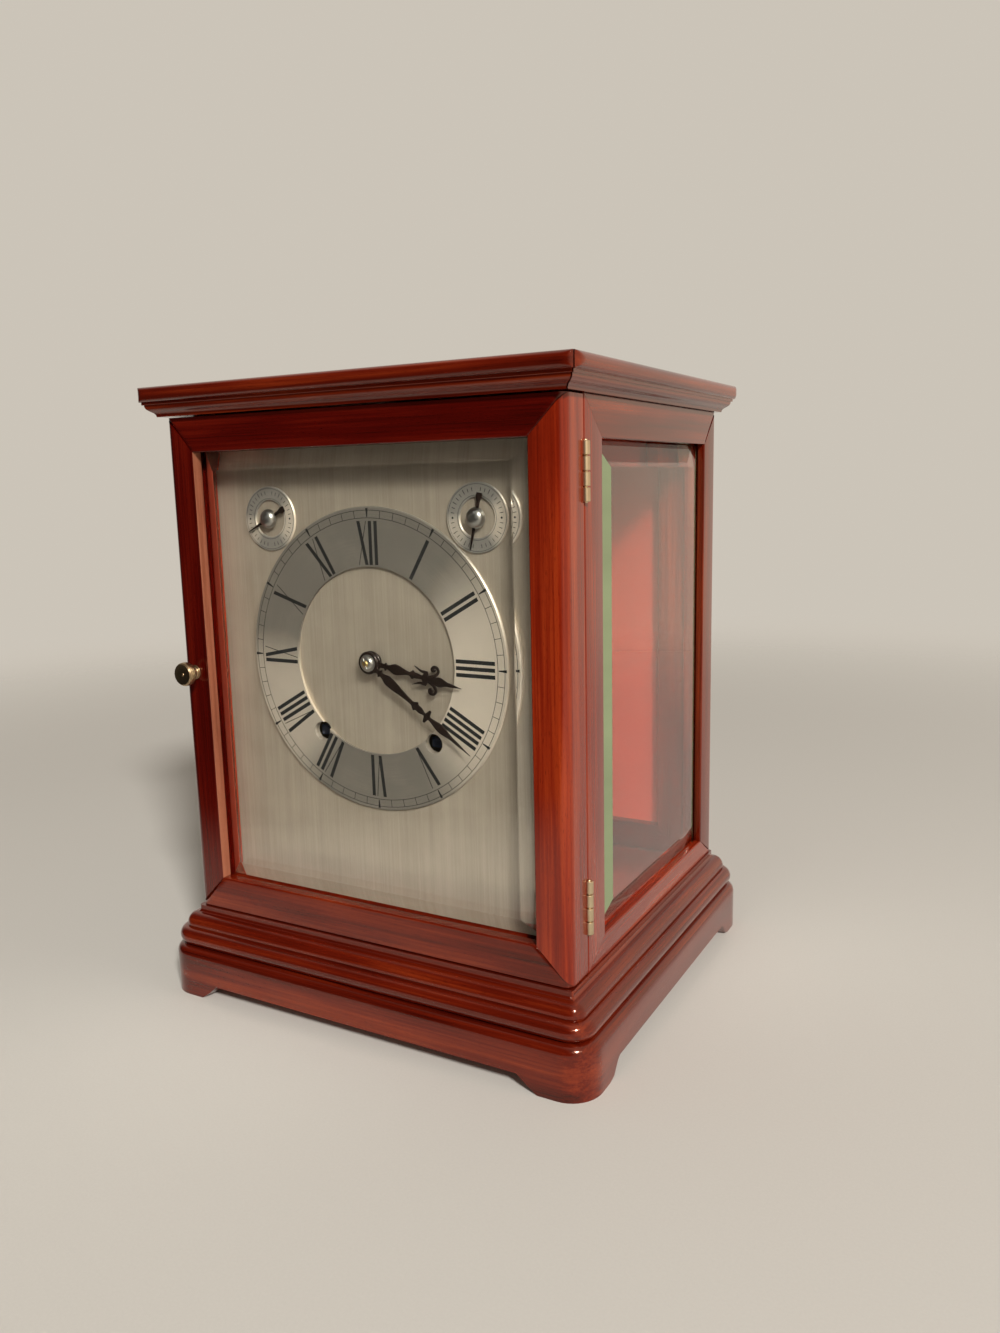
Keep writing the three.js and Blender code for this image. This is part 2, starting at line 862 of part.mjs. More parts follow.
const pipeBore = arborRadius + 2 * running;
const pipeRadius = pipeBore + pipeWall;
const plateFront = dialThickness + motionSpace;
const plateBack = plateFront + plateThickness + plateSpacing;

function hole(x, z, radius) {
  const path = new THREE.Path();
  path.absarc(x, z, radius, 0, Math.PI * 2);
  return path;
}

function dialPlateGeometry() {
  const halfX = innerHalf - dialPlay;
  const bottom = floorZ - dialZ + dialPlay;
  const top = corniceZ - dialZ - dialPlay;
  const shape = new THREE.Shape();
  shape.moveTo(-halfX, bottom);
  shape.lineTo(halfX, bottom);
  shape.lineTo(halfX, top);
  shape.lineTo(-halfX, top);
  shape.holes.push(hole(0, 0, pipeRadius + 4 * fit));
  shape.holes.push(hole(winderX, -winderDrop, winderHole), hole(-winderX, -winderDrop, winderHole));
  shape.holes.push(hole(subX, subZ, subArborRadius + running), hole(-subX, subZ, subArborRadius + running));
  const plate = sheet(shape, 0, dialThickness, 10);
  const foot = barY(dialFootRadius, dialThickness - overlap, plateFront - touch, 12);
  const feet = [-1, 1].flatMap((sx) => [-1, 1].map((sz) => at(foot, sx * dialFootX, 0, sz * dialFootZ)));
  return join(plate, ...feet);
}
piece(dial, "dial_plate", dialPlateGeometry(), silvered());

// A flat ring standing on the dial, with its two edges bevelled
function ringGeometry(outer, inner, thickness, sides) {
  const bevel = thickness * 0.35;
  return turned(
    [
      [inner, -touch],
      [outer, -touch],
      [outer, bevel - thickness - touch],
      [outer - bevel, -thickness - touch],
      [inner + bevel, -thickness - touch],
      [inner, bevel - thickness - touch],
      [inner, -touch],
    ],
    sides,
  );
}
const winderBore = barY(winderHole, -ringThickness - overcut, overcut);
const chapterRing = cut(
  ringGeometry(ringRadius, ringBore, ringThickness, 56),
  at(winderBore, winderX, 0, -winderDrop),
  at(winderBore, -winderX, 0, -winderDrop),
);
piece(dial, "chapter_ring", chapterRing, silvered());
const subRing = ringGeometry(subRadius, subBore, subThickness, 28);
const slowFastRing = piece(dial, "slow_fast_ring", subRing, silvered());
slowFastRing.position.set(-subX, 0, subZ);
const strikeRing = piece(dial, "strike_silent_ring", subRing.clone(), silvered());
strikeRing.position.set(subX, 0, subZ);

// A hand's outline from (half width, reach) points on its right edge, mirrored to its left
function handShape(points) {
  const right = points.map(([half, reach]) => new THREE.Vector2(half, reach));
  const left = right.map((p) => new THREE.Vector2(-p.x, p.y)).reverse();
  return new THREE.Shape([...right, ...left]);
}

// A tapering ribbon along a plane curve
function ribbon(curve, startHalf, endHalf, steps = 8) {
  const right = [];
  const left = [];
  for (let i = 0; i <= steps; i += 1) {
    const half = THREE.MathUtils.lerp(startHalf, endHalf, i / steps);
    const p = curve.getPoint(i / steps);
    const along = curve.getTangent(i / steps);
    right.push(new THREE.Vector2(p.x + along.y * half, p.y - along.x * half));
    left.unshift(new THREE.Vector2(p.x - along.y * half, p.y + along.x * half));
  }
  return new THREE.Shape([...right, ...left]);
}

// A leaf that leaves the stem at a reach, bends round a knee and ends in a round eye
function curl(side, root, knee, end, eye) {
  const curve = new THREE.QuadraticBezierCurve(
    new THREE.Vector2(0, root),
    new THREE.Vector2(side * knee[0], knee[1]),
    new THREE.Vector2(side * end[0], end[1]),
  );
  const tip = new THREE.Shape();
  tip.absarc(side * end[0], end[1], eye, 0, Math.PI * 2);
  return [ribbon(curve, waistHalf, eye * 0.6), tip];
}

const minuteBack = ringThickness + hourLift + handThickness + minuteLift + touch;
const hourBack = ringThickness + hourLift + touch;

function hourHandGeometry() {
  const stem = handShape([
    [stemHalf, bossRadius * 0.8],
    [stemHalf, hourLength * 0.15],
    [collarHalf, hourLength * 0.171],
    [stemHalf, hourLength * 0.19],
    [swellHalf, hourLength * 0.28],
    [waistHalf, hourLength * 0.44],
    [collarHalf, hourLength * 0.475],
    [stemHalf, hourLength * 0.5],
    [stemHalf, hourLength * 0.58],
    [crossHalf, hourLength * 0.61],
    [crossHalf, hourLength * 0.635],
    [waistHalf, hourLength * 0.66],
    [bladeHalf, hourLength * 0.765],
    [waistHalf, hourLength * 0.87],
    [tipHalf, hourLength],
  ]);
  const shapes = [stem];
  for (const side of [-1, 1]) {
    const bulge = [scrollOut + 1, scrollRoot + 1];
    shapes.push(...curl(side, scrollRoot, bulge, [scrollOut, scrollEnd], scrollEye));
    shapes.push(...curl(side, thornRoot, [thornOut * 0.6, thornRoot], [thornOut, thornEnd], thornEye));
  }
  const blades = shapes.map((shape) => sheet(shape, -hourBack - handThickness, -hourBack, 5));
  const boss = barY(bossRadius, -hourBack - handThickness, -hourBack, 28);
  const pipe = barY(pipeRadius, -hourBack - handThickness / 2, plateFront - 4 * fit, 16);
  return cut(join(...blades, boss, pipe), barY(pipeBore, -hourBack - overcut, plateFront + overcut, 16));
}
const minuteAngle = (shownMinutes / 60) * Math.PI * 2;
const hourHand = piece(dial, "hour_hand", hourHandGeometry(), bluedSteel());
hourHand.rotation.y = ((shownHour + shownMinutes / 60) / 12) * Math.PI * 2;

const seatRadius = arborRadius * 0.73;
function minuteHandGeometry() {
  const stem = handShape([
    [stemHalf, bossRadius * 0.8],
    [stemHalf, minuteLength * 0.105],
    [collarHalf, minuteLength * 0.12],
    [stemHalf, minuteLength * 0.133],
    [swellHalf, minuteLength * 0.2],
    [waistHalf, minuteLength * 0.43],
    [barbHalf, minuteLength * 0.475],
    [stemHalf, minuteLength * 0.52],
    [waistHalf, minuteLength * 0.565],
    [crossHalf, minuteLength * 0.58],
    [crossHalf, minuteLength * 0.595],
    [waistHalf, minuteLength * 0.61],
    [bladeHalf, minuteLength * 0.71],
    [waistHalf, minuteLength * 0.84],
    [tipHalf, minuteLength],
  ]);
  const blade = sheet(stem, -minuteBack - handThickness, -minuteBack, 5);
  const boss = barY(bossRadius, -minuteBack - handThickness, -minuteBack, 28);
  return cut(join(blade, boss), barY(seatRadius + touch, -minuteBack - overcut, 0, 20));
}
const minuteHand = piece(dial, "minute_hand", minuteHandGeometry(), bluedSteel());
minuteHand.rotation.y = minuteAngle;

// Domed washer in front of the minute hand
function colletGeometry() {
  const back = -minuteBack - handThickness - touch;
  const inner = seatRadius + touch;
  const profile = new THREE.Path();
  profile.moveTo(inner, back);
  profile.lineTo(colletRadius, back);
  profile.lineTo(colletRadius, back - colletHeight * 0.3);
  profile.quadraticCurveTo(colletRadius * 0.8, back - colletHeight * 0.9, inner, back - colletHeight);
  profile.lineTo(inner, back);
  return turned(profile.getPoints(4).map((p) => [p.x, p.y]), 20);
}
piece(dial, "hand_collet", colletGeometry(), steel());

// A subsidiary hand: slim pointer, spade tail, domed collet and an arbor through the dial
function subHandGeometry() {
  const back = subThickness + subLift + touch;
  const pointer = handShape([
    [subHalf, 0],
    [subHalf, subPointer * 0.5],
    [subHalf * 0.45, subPointer],
  ]);
  const tail = handShape([
    [spadeHalf * 0.93, -subTail],
    [spadeHalf, -subTail * 0.85],
    [subHalf, -subTail * 0.5],
    [subHalf, 0],
  ]);
  const dome = new THREE.Path();
  dome.moveTo(0, -back + fit);
  dome.lineTo(subColletRadius, -back + fit);
  dome.lineTo(subColletRadius, -back - subColletRim);
  dome.quadraticCurveTo(subColletRadius * 0.85, -back - subColletHeight, 0, -back - subColletHeight);
  return join(
    sheet(pointer, -back - subHandThickness, -back),
    sheet(tail, -back - subHandThickness, -back),
    turned(dome.getPoints(4).map((p) => [p.x, p.y]), 16),
    barY(subArborRadius, -back, dialThickness + subArborReach, 16),
  );
}
const slowFastHand = piece(dial, "slow_fast_hand", subHandGeometry(), bluedSteel());
slowFastHand.position.set(-subX, 0, subZ);
slowFastHand.rotation.y = slowFastAngle;
const strikeHand = piece(dial, "strike_silent_hand", subHandGeometry(), bluedSteel());
strikeHand.position.set(subX, 0, subZ);
strikeHand.rotation.y = strikeAngle;

// Movement, in the dial's frame: two brass plates held apart by turned pillars
const movement = new THREE.Group();
movement.position.copy(dial.position);
clock.add(movement);

const hammerX = gongRadius + gongWire + hammerGap + hammerHeadLength / 2;
function plateShape() {
  const shape = roundedRectangle(plateWidth / 2, touch - plateBelow, plateAbove, plateCorner);
  shape.holes.push(hole(0, 0, arborRadius + running));
  for (const side of [-1, 1]) {
    shape.holes.push(hole(side * winderX, -winderDrop, winderRadius + running));
  }
  shape.holes.push(hole(hammerX, hammerRise, hammerArbor + running));
  return shape;
}
piece(movement, "front_plate", sheet(plateShape(), plateFront, plateFront + plateThickness, 8), brass());

// Suspension cock riveted to the back plate: two cheeks with a pin hole, and a slot between them
// in which the pendulum's spring hangs
const slotHalf = springWidth / 2 + springPlay;
const pinReach = slotHalf + cockWall * 0.8;
const hangY = plateBack + plateThickness + pendulumGap;
function cockGeometry() {
  const half = cockWidth / 2;
  const rear = hangY + slotHalf + cockWall;
  const low = pivotRise - cockHeight * 0.35;
  const high = pivotRise + cockHeight * 0.65;
  const block = box(-half, half, plateBack + plateThickness - overlap, rear, low, high);
  const slotTop = pivotRise + cockHeight * 0.4;
  const slot = box(-cockWidth, cockWidth, hangY - slotHalf, hangY + slotHalf, low - overcut, slotTop);
  const pinHole = barY(pivotRadius + running, hangY - pinReach - 3 * fit, rear + overcut);
  return cut(block, slot, at(pinHole, 0, 0, pivotRise));
}

function backPlateGeometry() {
  const near = plateFront + plateThickness + touch;
  const middle = (near + plateBack) / 2;
  const pillar = turned(
    [
      [0, near],
      [pillarRadius, near],
      [pillarWaist, near + pillarTaper],
      [pillarWaist, middle - pillarTaper],
      [pillarBelly, middle],
      [pillarWaist, middle + pillarTaper],
      [pillarWaist, plateBack - pillarTaper],
      [pillarRadius, plateBack + overlap],
      [0, plateBack + overlap],
    ],
    8,
  );
  const x = plateWidth / 2 - pillarInset;
  const pillars = [-x, x].flatMap((px) => [
    at(pillar, px, 0, plateAbove - pillarInset),
    at(pillar, px, 0, pillarInset - plateBelow),
  ]);
  const plate = sheet(plateShape(), plateBack, plateBack + plateThickness, 8);
  return join(plate, cockGeometry(), ...pillars);
}
piece(movement, "back_plate", backPlateGeometry(), brass());

// A toothed disc drawn in x and z
function wheelShape(radius, teeth) {
  const points = [];
  for (let tooth = 0; tooth < teeth; tooth += 1) {
    for (const [share, reach] of [[0, -toothDepth], [0.2, 0], [0.5, 0], [0.7, -toothDepth]]) {
      const angle = ((tooth + share) / teeth) * Math.PI * 2;
      const r = radius + reach;
      points.push(new THREE.Vector2(r * Math.sin(angle), r * Math.cos(angle)));
    }
  }
  return new THREE.Shape(points);
}

// Mainspring barrel with its great wheel at the back and a raised cap rim at the front
const barrelFront = plateFront + plateThickness + (plateSpacing - barrelLength) / 2;
function barrelGeometry() {
  const bore = winderRadius + running;
  const end = barrelFront + barrelLength;
  const drum = turned(
    [
      [bore, barrelFront - barrelHub],
      [bore + barrelHub, barrelFront - barrelHub],
      [bore + barrelHub, barrelFront + capDepth],
      [barrelRadius - barrelRim, barrelFront + capDepth],
      [barrelRadius - barrelRim, barrelFront],
      [barrelRadius, barrelFront],
      [barrelRadius, end],
      [bore + barrelHub, end],
      [bore + barrelHub, end + barrelHub],
      [bore, end + barrelHub],
      [bore, barrelFront - barrelHub],
    ],
    18,
  );
  const shape = wheelShape(greatWheelRadius, greatTeeth);
  shape.holes.push(hole(0, 0, barrelRadius - overlap));
  const wheelEnd = end - barrelRim;
  return join(drum, sheet(shape, wheelEnd - greatWheelThickness, wheelEnd, 10));
}

// Winding arbor: a round shaft in the plates with a square for the key behind the dial's hole
function winderGeometry() {
  const half = winderSquare / 2;
  const shoulder = plateFront - overlap;
  const shaft = barY(winderRadius, shoulder, plateBack + plateThickness, 20);
  return join(shaft, box(-half, half, winderRecess, shoulder + overlap, -half, half));
}
for (const [side, barrelName, winderName] of [
  [-1, "strike_barrel", "strike_winding_arbor"],
  [1, "going_barrel", "going_winding_arbor"],
]) {
  const barrel = piece(movement, barrelName, barrelGeometry(), brass());
  barrel.position.set(side * winderX, 0, -winderDrop);
  const winder = piece(movement, winderName, winderGeometry(), steel());
  winder.position.copy(barrel.position);
}

// Centre arbor: it carries the minute hand, and its wheel has crossed out spokes
function centreArborGeometry() {
  const tip = minuteBack + handThickness + colletHeight + tipHeight;
  const shaft = turned(
    [
      [0, -tip],
      [seatRadius * 0.6, -tip],
      [seatRadius, -tip + tipHeight],
      [seatRadius, -minuteBack + touch],
      [arborRadius, -minuteBack + touch],
      [arborRadius, plateBack + plateThickness - overlap],
      [0, plateBack + plateThickness - overlap],
    ],
    16,
  );
  const shape = wheelShape(centreWheelRadius, centreTeeth);
  const rim = centreWheelRadius - toothDepth - centreRim;
  for (let spoke = 0; spoke < spokes; spoke += 1) {
    const start = ((spoke + 0.13) / spokes) * Math.PI * 2;
    const end = ((spoke + 0.87) / spokes) * Math.PI * 2;
    const window = new THREE.Path();
    window.absarc(0, 0, rim, start, end, false);
    window.absarc(0, 0, rim * 0.38, end, start, true);
    shape.holes.push(window);
  }
  const wheelY = barrelFront + centreWheelGap;
  return join(shaft, sheet(shape, wheelY, wheelY + centreWheelThickness, 3));
}
const centreArbor = piece(dial, "centre_arbor", centreArborGeometry(), brass());
centreArbor.rotation.y = minuteAngle;

// Wooden seat for the movement on two waisted cheeks
const seatFront = plateFront - seatMargin;
const seatBack = plateBack + plateThickness + seatMargin;
const seatTop = -plateBelow;
const seatHalf = seatWidth / 2;
const seatBoard = box(-seatHalf, seatHalf, seatFront, seatBack, seatTop - seatThickness, seatTop);
piece(movement, "seat_board", seatBoard, darkWood());

function cheekGeometry() {
  const low = floorZ + 2 * touch - dialZ;
  const high = seatTop - seatThickness - touch;
  const shape = new THREE.Shape();
  shape.moveTo(seatFront, low);
  shape.lineTo(seatBack, low);
  shape.quadraticCurveTo(seatBack - 2 * cheekWaist, (low + high) / 2, seatBack, high);
  shape.lineTo(seatFront, high);
  shape.quadraticCurveTo(seatFront + 2 * cheekWaist, (low + high) / 2, seatFront, low);
  const half = cheekThickness / 2;
  return sheet(shape, -half, half, 8).rotateZ(Math.PI / 2);
}
for (const [side, name] of [[-1, "left_cheek"], [1, "right_cheek"]]) {
  const cheek = piece(movement, name, cheekGeometry(), darkWood());
  cheek.position.x = side * (seatHalf - cheekThickness / 2);
}

// Pendulum, with z 0 at the pin that it hangs from
const pendulumLength = pivotZ - floorZ - pendulumFloorGap;
function pendulumGeometry() {
  const nutTop = -pendulumLength + rodTail + nutHeight;
  const bobZ = nutTop + bobRadius;
  const lens = new THREE.Path();
  lens.moveTo(0, -bobThickness / 2);
  lens.quadraticCurveTo(bobRadius * 0.75, -bobThickness / 2, bobRadius, -bobRim / 2);
  lens.lineTo(bobRadius, bobRim / 2);
  lens.quadraticCurveTo(bobRadius * 0.75, bobThickness / 2, 0, bobThickness / 2);
  const spring = new THREE.BoxGeometry(springThickness, springWidth, springLength);
  const block = new THREE.BoxGeometry(blockWidth, blockDepth, blockHeight);
  return join(
    barY(pivotRadius, -pinReach, pinReach, 16),
    at(spring, 0, 0, springTop - springLength / 2),
    at(block, 0, 0, springTop - springLength - blockHeight / 2 + overlap),
    barZ(rodRadius, -pendulumLength, springTop - springLength - blockHeight / 2, 12),
    at(turned(lens.getPoints(4).map((p) => [p.x, p.y]), 24), 0, 0, bobZ),
    barZ(nutRadius, nutTop - nutHeight, nutTop + overlap, 16),
  );
}
const pendulum = piece(clock, "pendulum", pendulumGeometry(), brass());
pendulum.position.set(0, pendulumY, pivotZ);

// Coil gong: a flat spiral that leaves its holder straight, then grows by one pitch a turn
class GongCurve extends THREE.Curve {
  getPoint(share) {
    const straight = 2 * gongWire;
    const sweep = Math.PI * 2 * gongLoops;
    const length = straight + sweep * (gongStart + gongRadius) * 0.5;
    const along = share * length - straight;
    if (along < 0) return new THREE.Vector3(gongStart, 0, along);
    const turn = (along / (length - straight)) * sweep;
    const radius = gongStart + (gongPitch * turn) / (Math.PI * 2);
    return new THREE.Vector3(radius * Math.cos(turn), 0, radius * Math.sin(turn));
  }

  getPointAt(share) {
    return this.getPoint(share);
  }

  getTangentAt(share) {
    const step = 1e-4;
    const from = this.getPoint(Math.max(0, share - step));
    const to = this.getPoint(Math.min(1, share + step));
    return to.sub(from).normalize();
  }
}

function gongGeometry() {
  const curve = new GongCurve();
  const steps = gongLoops * 24 + 1;
  const section = new THREE.Shape();
  for (let side = 0; side < 6; side += 1) {
    const angle = (side / 6) * Math.PI * 2;
    const x = gongWire * Math.cos(angle);
    const y = gongWire * Math.sin(angle);
    if (side) section.lineTo(x, y);
    else section.moveTo(x, y);
  }
  const points = curve.getPoints(steps * 4);
  let least = Infinity;
  points.forEach((p, i) => {
    for (let j = i + 48; j < points.length; j += 1) {
      least = Math.min(least, p.distanceTo(points[j]) - 2 * gongWire);
    }
  });
  console.log("least gap between turns of the gong: " + least.toFixed(2) + " mm");
  return new THREE.ExtrudeGeometry(section, { steps, extrudePath: curve, bevelEnabled: false });
}
const gong = piece(clock, "gong_coil", toGeometry(toSolid(gongGeometry())), bluedSteel());
gong.position.set(0, gongY, gongZ);

// Cast stand: a foot on the case floor, a tapered post behind the coil and the holder at its top
function standGeometry() {
  const low = floorZ + 2 * touch - gongZ;
  const holderTop = -2 * gongWire - wireGap;
  const holderLow = holderTop - holderHeight;
  const postFront = gongWire + postGap;
  const postBack = postFront + postThickness;
  const post = new THREE.Shape();
  const flare = standWidth * 0.3;
  const bendZ = low + standFoot * 2;
  const rootZ = low + overlap;
  post.moveTo(gongStart - flare, rootZ);
  post.lineTo(gongStart + flare, rootZ);
  post.quadraticCurveTo(gongStart + standPost, bendZ, gongStart + standPost / 2, holderTop);
  post.lineTo(gongStart - standPost / 2, holderTop);
  post.quadraticCurveTo(gongStart - standPost, bendZ, gongStart - flare, rootZ);
  const middle = (postFront + postBack) / 2;
  return join(
    box(
      gongStart - standWidth / 2,
      gongStart + standWidth / 2,
      middle - standDepth / 2,
      middle + standDepth / 2,
      low,
      low + standFoot,
    ),
    sheet(post, postFront, postBack, 8),
    box(
      gongStart - holderWidth / 2,
      gongStart + holderWidth / 2,
      -gongWire - holderWall,
      postBack - overlap,
      holderLow,
      holderTop,
    ),
  );
}
const stand = piece(clock, "gong_stand", standGeometry(), castIron());
stand.position.set(0, gongY, gongZ);

// Strike hammer: an arbor in the plates, an arm that hangs behind them and a head beside the coil
function hammerGeometry() {
  const drop = dialZ + hammerRise - gongZ;
  const near = frontPlateY;
  const head = new THREE.CylinderGeometry(hammerHeadRadius, hammerHeadRadius, hammerHeadLength, 16);
  const nose = new THREE.SphereGeometry(hammerHeadRadius * 0.7, 12, 8);
  return join(
    barY(hammerArbor, near, gongY + hammerArm, 16),
    barY(hammerHub, gongY - hammerHubLength / 2, gongY + hammerHubLength / 2, 16),
    at(barZ(hammerArm, -drop, 0, 10), 0, gongY, 0),
    at(head.rotateZ(Math.PI / 2), 0, gongY, -drop),
    at(nose.scale(0.25, 1, 1), -hammerHeadLength / 2, gongY, -drop),
  );
}
const hammer = piece(clock, "strike_hammer", hammerGeometry(), steel());
hammer.position.set(hammerX, 0, dialZ + hammerRise);

export default clock;
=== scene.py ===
import itertools
import json
import math

import bmesh
import bpy
import numpy as np
from mathutils import Matrix, Vector
from mathutils.geometry import tessellate_polygon


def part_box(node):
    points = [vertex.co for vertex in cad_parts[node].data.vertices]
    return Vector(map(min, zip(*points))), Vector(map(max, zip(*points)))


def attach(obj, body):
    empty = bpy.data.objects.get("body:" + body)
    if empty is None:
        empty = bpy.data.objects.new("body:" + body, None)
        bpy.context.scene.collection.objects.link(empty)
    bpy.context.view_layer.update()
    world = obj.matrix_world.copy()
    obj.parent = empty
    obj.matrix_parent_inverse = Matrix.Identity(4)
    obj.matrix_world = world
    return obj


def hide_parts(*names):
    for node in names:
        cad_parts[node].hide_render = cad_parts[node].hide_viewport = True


# a mahogany four glass clock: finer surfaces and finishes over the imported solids
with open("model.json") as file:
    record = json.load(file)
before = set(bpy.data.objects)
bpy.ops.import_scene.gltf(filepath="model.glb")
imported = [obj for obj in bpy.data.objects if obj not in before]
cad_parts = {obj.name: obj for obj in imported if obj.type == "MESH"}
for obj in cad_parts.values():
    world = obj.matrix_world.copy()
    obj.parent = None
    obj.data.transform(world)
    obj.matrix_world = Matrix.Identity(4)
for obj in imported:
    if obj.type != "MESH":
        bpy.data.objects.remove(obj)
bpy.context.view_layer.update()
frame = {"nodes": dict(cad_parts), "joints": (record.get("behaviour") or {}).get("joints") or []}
mm = 0.001  # lengths are in millimetres up to makePiece
scene = bpy.context.scene
scene.view_settings.view_transform = "Standard"
pinOf = {joint["name"]: np.array(joint["pos_m"]) / mm for joint in frame["joints"]}


def corners(node):
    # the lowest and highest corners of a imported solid
    low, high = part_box(node)
    return np.array(low) / mm, np.array(high) / mm


# curves for profiles, as arrays of points
def around(steps):
    # angles spaced evenly once round
    return np.linspace(0, 2 * np.pi, steps, endpoint=False)


def arc(centre, radii, start, end, steps=10):
    # points on an ellipse between two angles in degrees
    turn = np.radians(np.linspace(start, end, steps + 1))
    return np.column_stack([centre[0] + radii[0] * np.cos(turn), centre[1] + radii[1] * np.sin(turn)])


def bend(points, steps=12):
    # a Bezier curve from the first point to the last, by repeated blending of the control points
    share = np.linspace(0, 1, steps + 1)[:, None, None]
    level = np.repeat(np.array(points, float)[None], steps + 1, axis=0)
    while level.shape[1] > 1:
        level = level[:, :-1] * (1 - share) + level[:, 1:] * share
    return level[:, 0]


def chain(*parts):
    # parts of a profile end to end, each point once
    points = np.concatenate([np.atleast_2d(np.array(part, float)) for part in parts])
    apart = np.linalg.norm(np.diff(points, axis=0), axis=1) > 1e-5
    return points[np.concatenate([[True], apart])]


def smoothThrough(points, steps=60):
    # a Catmull-Rom curve: a cubic between each two points, its slopes set by the points on both sides
    knots = np.array(points, float)
    padded = np.concatenate([[2 * knots[0] - knots[1]], knots, [2 * knots[-1] - knots[-2]]])
    place = np.linspace(0, len(knots) - 1, steps)
    k = np.minimum(place.astype(int), len(knots) - 2)
    t = (place - k)[:, None]
    a, b, c, d = (padded[k + i] for i in range(4))
    cubic = (3 * (b - c) + d - a) * t**3 + (2 * a - 5 * b + 4 * c - d) * t**2
    return b + ((c - a) * t + cubic) / 2


def superellipse(sides, power):
    # cosine and sine raised to a power: an ellipse at 1, nearer to a rectangle below it
    turn = around(sides)
    return [np.sign(wave) * np.abs(wave) ** power for wave in (np.cos(turn), np.sin(turn))]


# shells: a shell is an array of points and a list of faces
def gridShell(points, loopRows=False, loopColumns=False, capRows=False):
    # quads between neighbouring points of a grid, closed round in either direction or capped at its ends
    rows, columns = points.shape[:2]
    i = np.arange(rows if loopRows else rows - 1)[:, None]
    j = np.arange(columns if loopColumns else columns - 1)[None, :]
    after, beside = (i + 1) % rows * columns, (j + 1) % columns
    quads = np.broadcast_arrays(i * columns + j, i * columns + beside, after + beside, after + j)
    faces = np.stack(quads, axis=-1).reshape(-1, 4).tolist()
    if capRows:
        faces += [list(range(columns)), list(range((rows - 1) * columns, rows * columns))]
    return points.reshape(-1, 3), faces


def sectionShell(points):
    # a closed section carried along its path, with both ends capped
    return gridShell(points, loopColumns=True, capRows=True)


def turnedShell(profile, centre, sides, axis=1, hollow=False):
    # a profile of (radius, place along the axis) turned once round the axis through a centre
    # a hollow one closes on itself, any other is capped at both ends
    turn = around(sides)
    radius, along = np.array(profile, float).T[:, :, None]
    points = np.empty((len(radius), sides, 3))
    points[..., axis] = along
    for side, wave in (((axis + 1) % 3, np.cos(turn)), ((axis + 2) % 3, np.sin(turn))):
        points[..., side] = centre[side] + radius * wave
    return gridShell(points, hollow, True, not hollow)


def barProfile(radius, start, end, chamfer):
    # half the outline of a round bar whose ends are chamfered by (in radius, along the bar)
    narrow, along = radius - chamfer[0], chamfer[1]
    first = [[0, start], [narrow, start], [radius, start + along]]
    return [*first, [radius, end - along], [narrow, end], [0, end]]


def cutShell(outlines, near, far, rimmed=False):
    # a flat sheet from its outline and its holes, drawn in x and z, with its two faces along y
    # where it is rimmed, the outline's own wall is left to another shell
    loops = [np.array(loop, float) for loop in outlines]
    flat = np.concatenate(loops)
    count = len(flat)
    points = np.concatenate([np.insert(flat, 1, near, axis=1), np.insert(flat, 1, far, axis=1)])
    cap = [list(t) for t in tessellate_polygon([[Vector((x, z, 0)) for x, z in loop] for loop in loops])]
    faces = cap + [[count + k for k in reversed(t)] for t in cap]
    starts = np.cumsum([0] + [len(loop) for loop in loops])
    for start, loop in list(zip(starts, loops))[int(rimmed):]:
        here = start + np.arange(len(loop))
        there = np.roll(here, -1)
        faces += np.column_stack([here, there, there + count, here + count]).tolist()
    return points, faces


def sweptShell(path, halfWidth, halfDepth, facing, sides=12, power=1.0):
    # a superellipse carried along a path, its depth along the facing direction, with closed ends
    path, facing = np.array(path, float), np.array(facing, float)
    along = np.gradient(path, axis=0)
    side = np.cross(along, facing)
    side /= np.linalg.norm(side, axis=1)[:, None]
    across, deep = superellipse(sides, power)
    width, depth = (np.broadcast_to(half, len(path))[:, None] for half in (halfWidth, halfDepth))
    points = path[:, None] + (width * across)[..., None] * side[:, None]
    return sectionShell(points + (depth * deep)[..., None] * facing)


def loopPlaces(shares, cornerSteps):
    # places round a rounded rectangle from its +X +Y corner: corner number plus share of side, and angle
    shares = np.array(shares, float)
    place, angle = [], []
    for corner in range(4):
        place += [np.full(cornerSteps + 1, corner), corner + shares]
        angle += [corner + np.linspace(0, 1, cornerSteps + 1), np.full(len(shares), corner + 1)]
    return np.concatenate(place), np.concatenate(angle) * np.pi / 2


def ringGrid(profile, halfX, halfY, cornerOf, place, angle):
    # each profile point (overhang, z) runs round a rectangle grown by the overhang, with rounded corners
    overhang, level = np.array(profile, float).T[:, :, None]
    radius = cornerOf(overhang)
    x = (halfX + overhang - radius) * np.interp(place, range(5), [1, -1, -1, 1, 1]) + radius * np.cos(angle)
    y = (halfY + overhang - radius) * np.interp(place, range(5), [1, 1, -1, -1, 1]) + radius * np.sin(angle)
    return np.stack([x, y, level + 0 * x], axis=-1)


def blockShell(low, high, ease):
    # a box with eased edges: a quarter round, a wall and a quarter round, run round its rectangle
    low, high = np.array(low, float), np.array(high, float)
    half, centre = (high - low) / 2, (high + low) / 2
    profile = chain(
        arc((-ease, low[2] + ease), (ease, ease), -90, 0, 2),
        arc((-ease, high[2] - ease), (ease, ease), 0, 90, 2),
    )
    points = ringGrid(profile, half[0], half[1], lambda over: over + ease + 1e-3, *loopPlaces([], 2))
    return sectionShell(points + [centre[0], centre[1], 0])


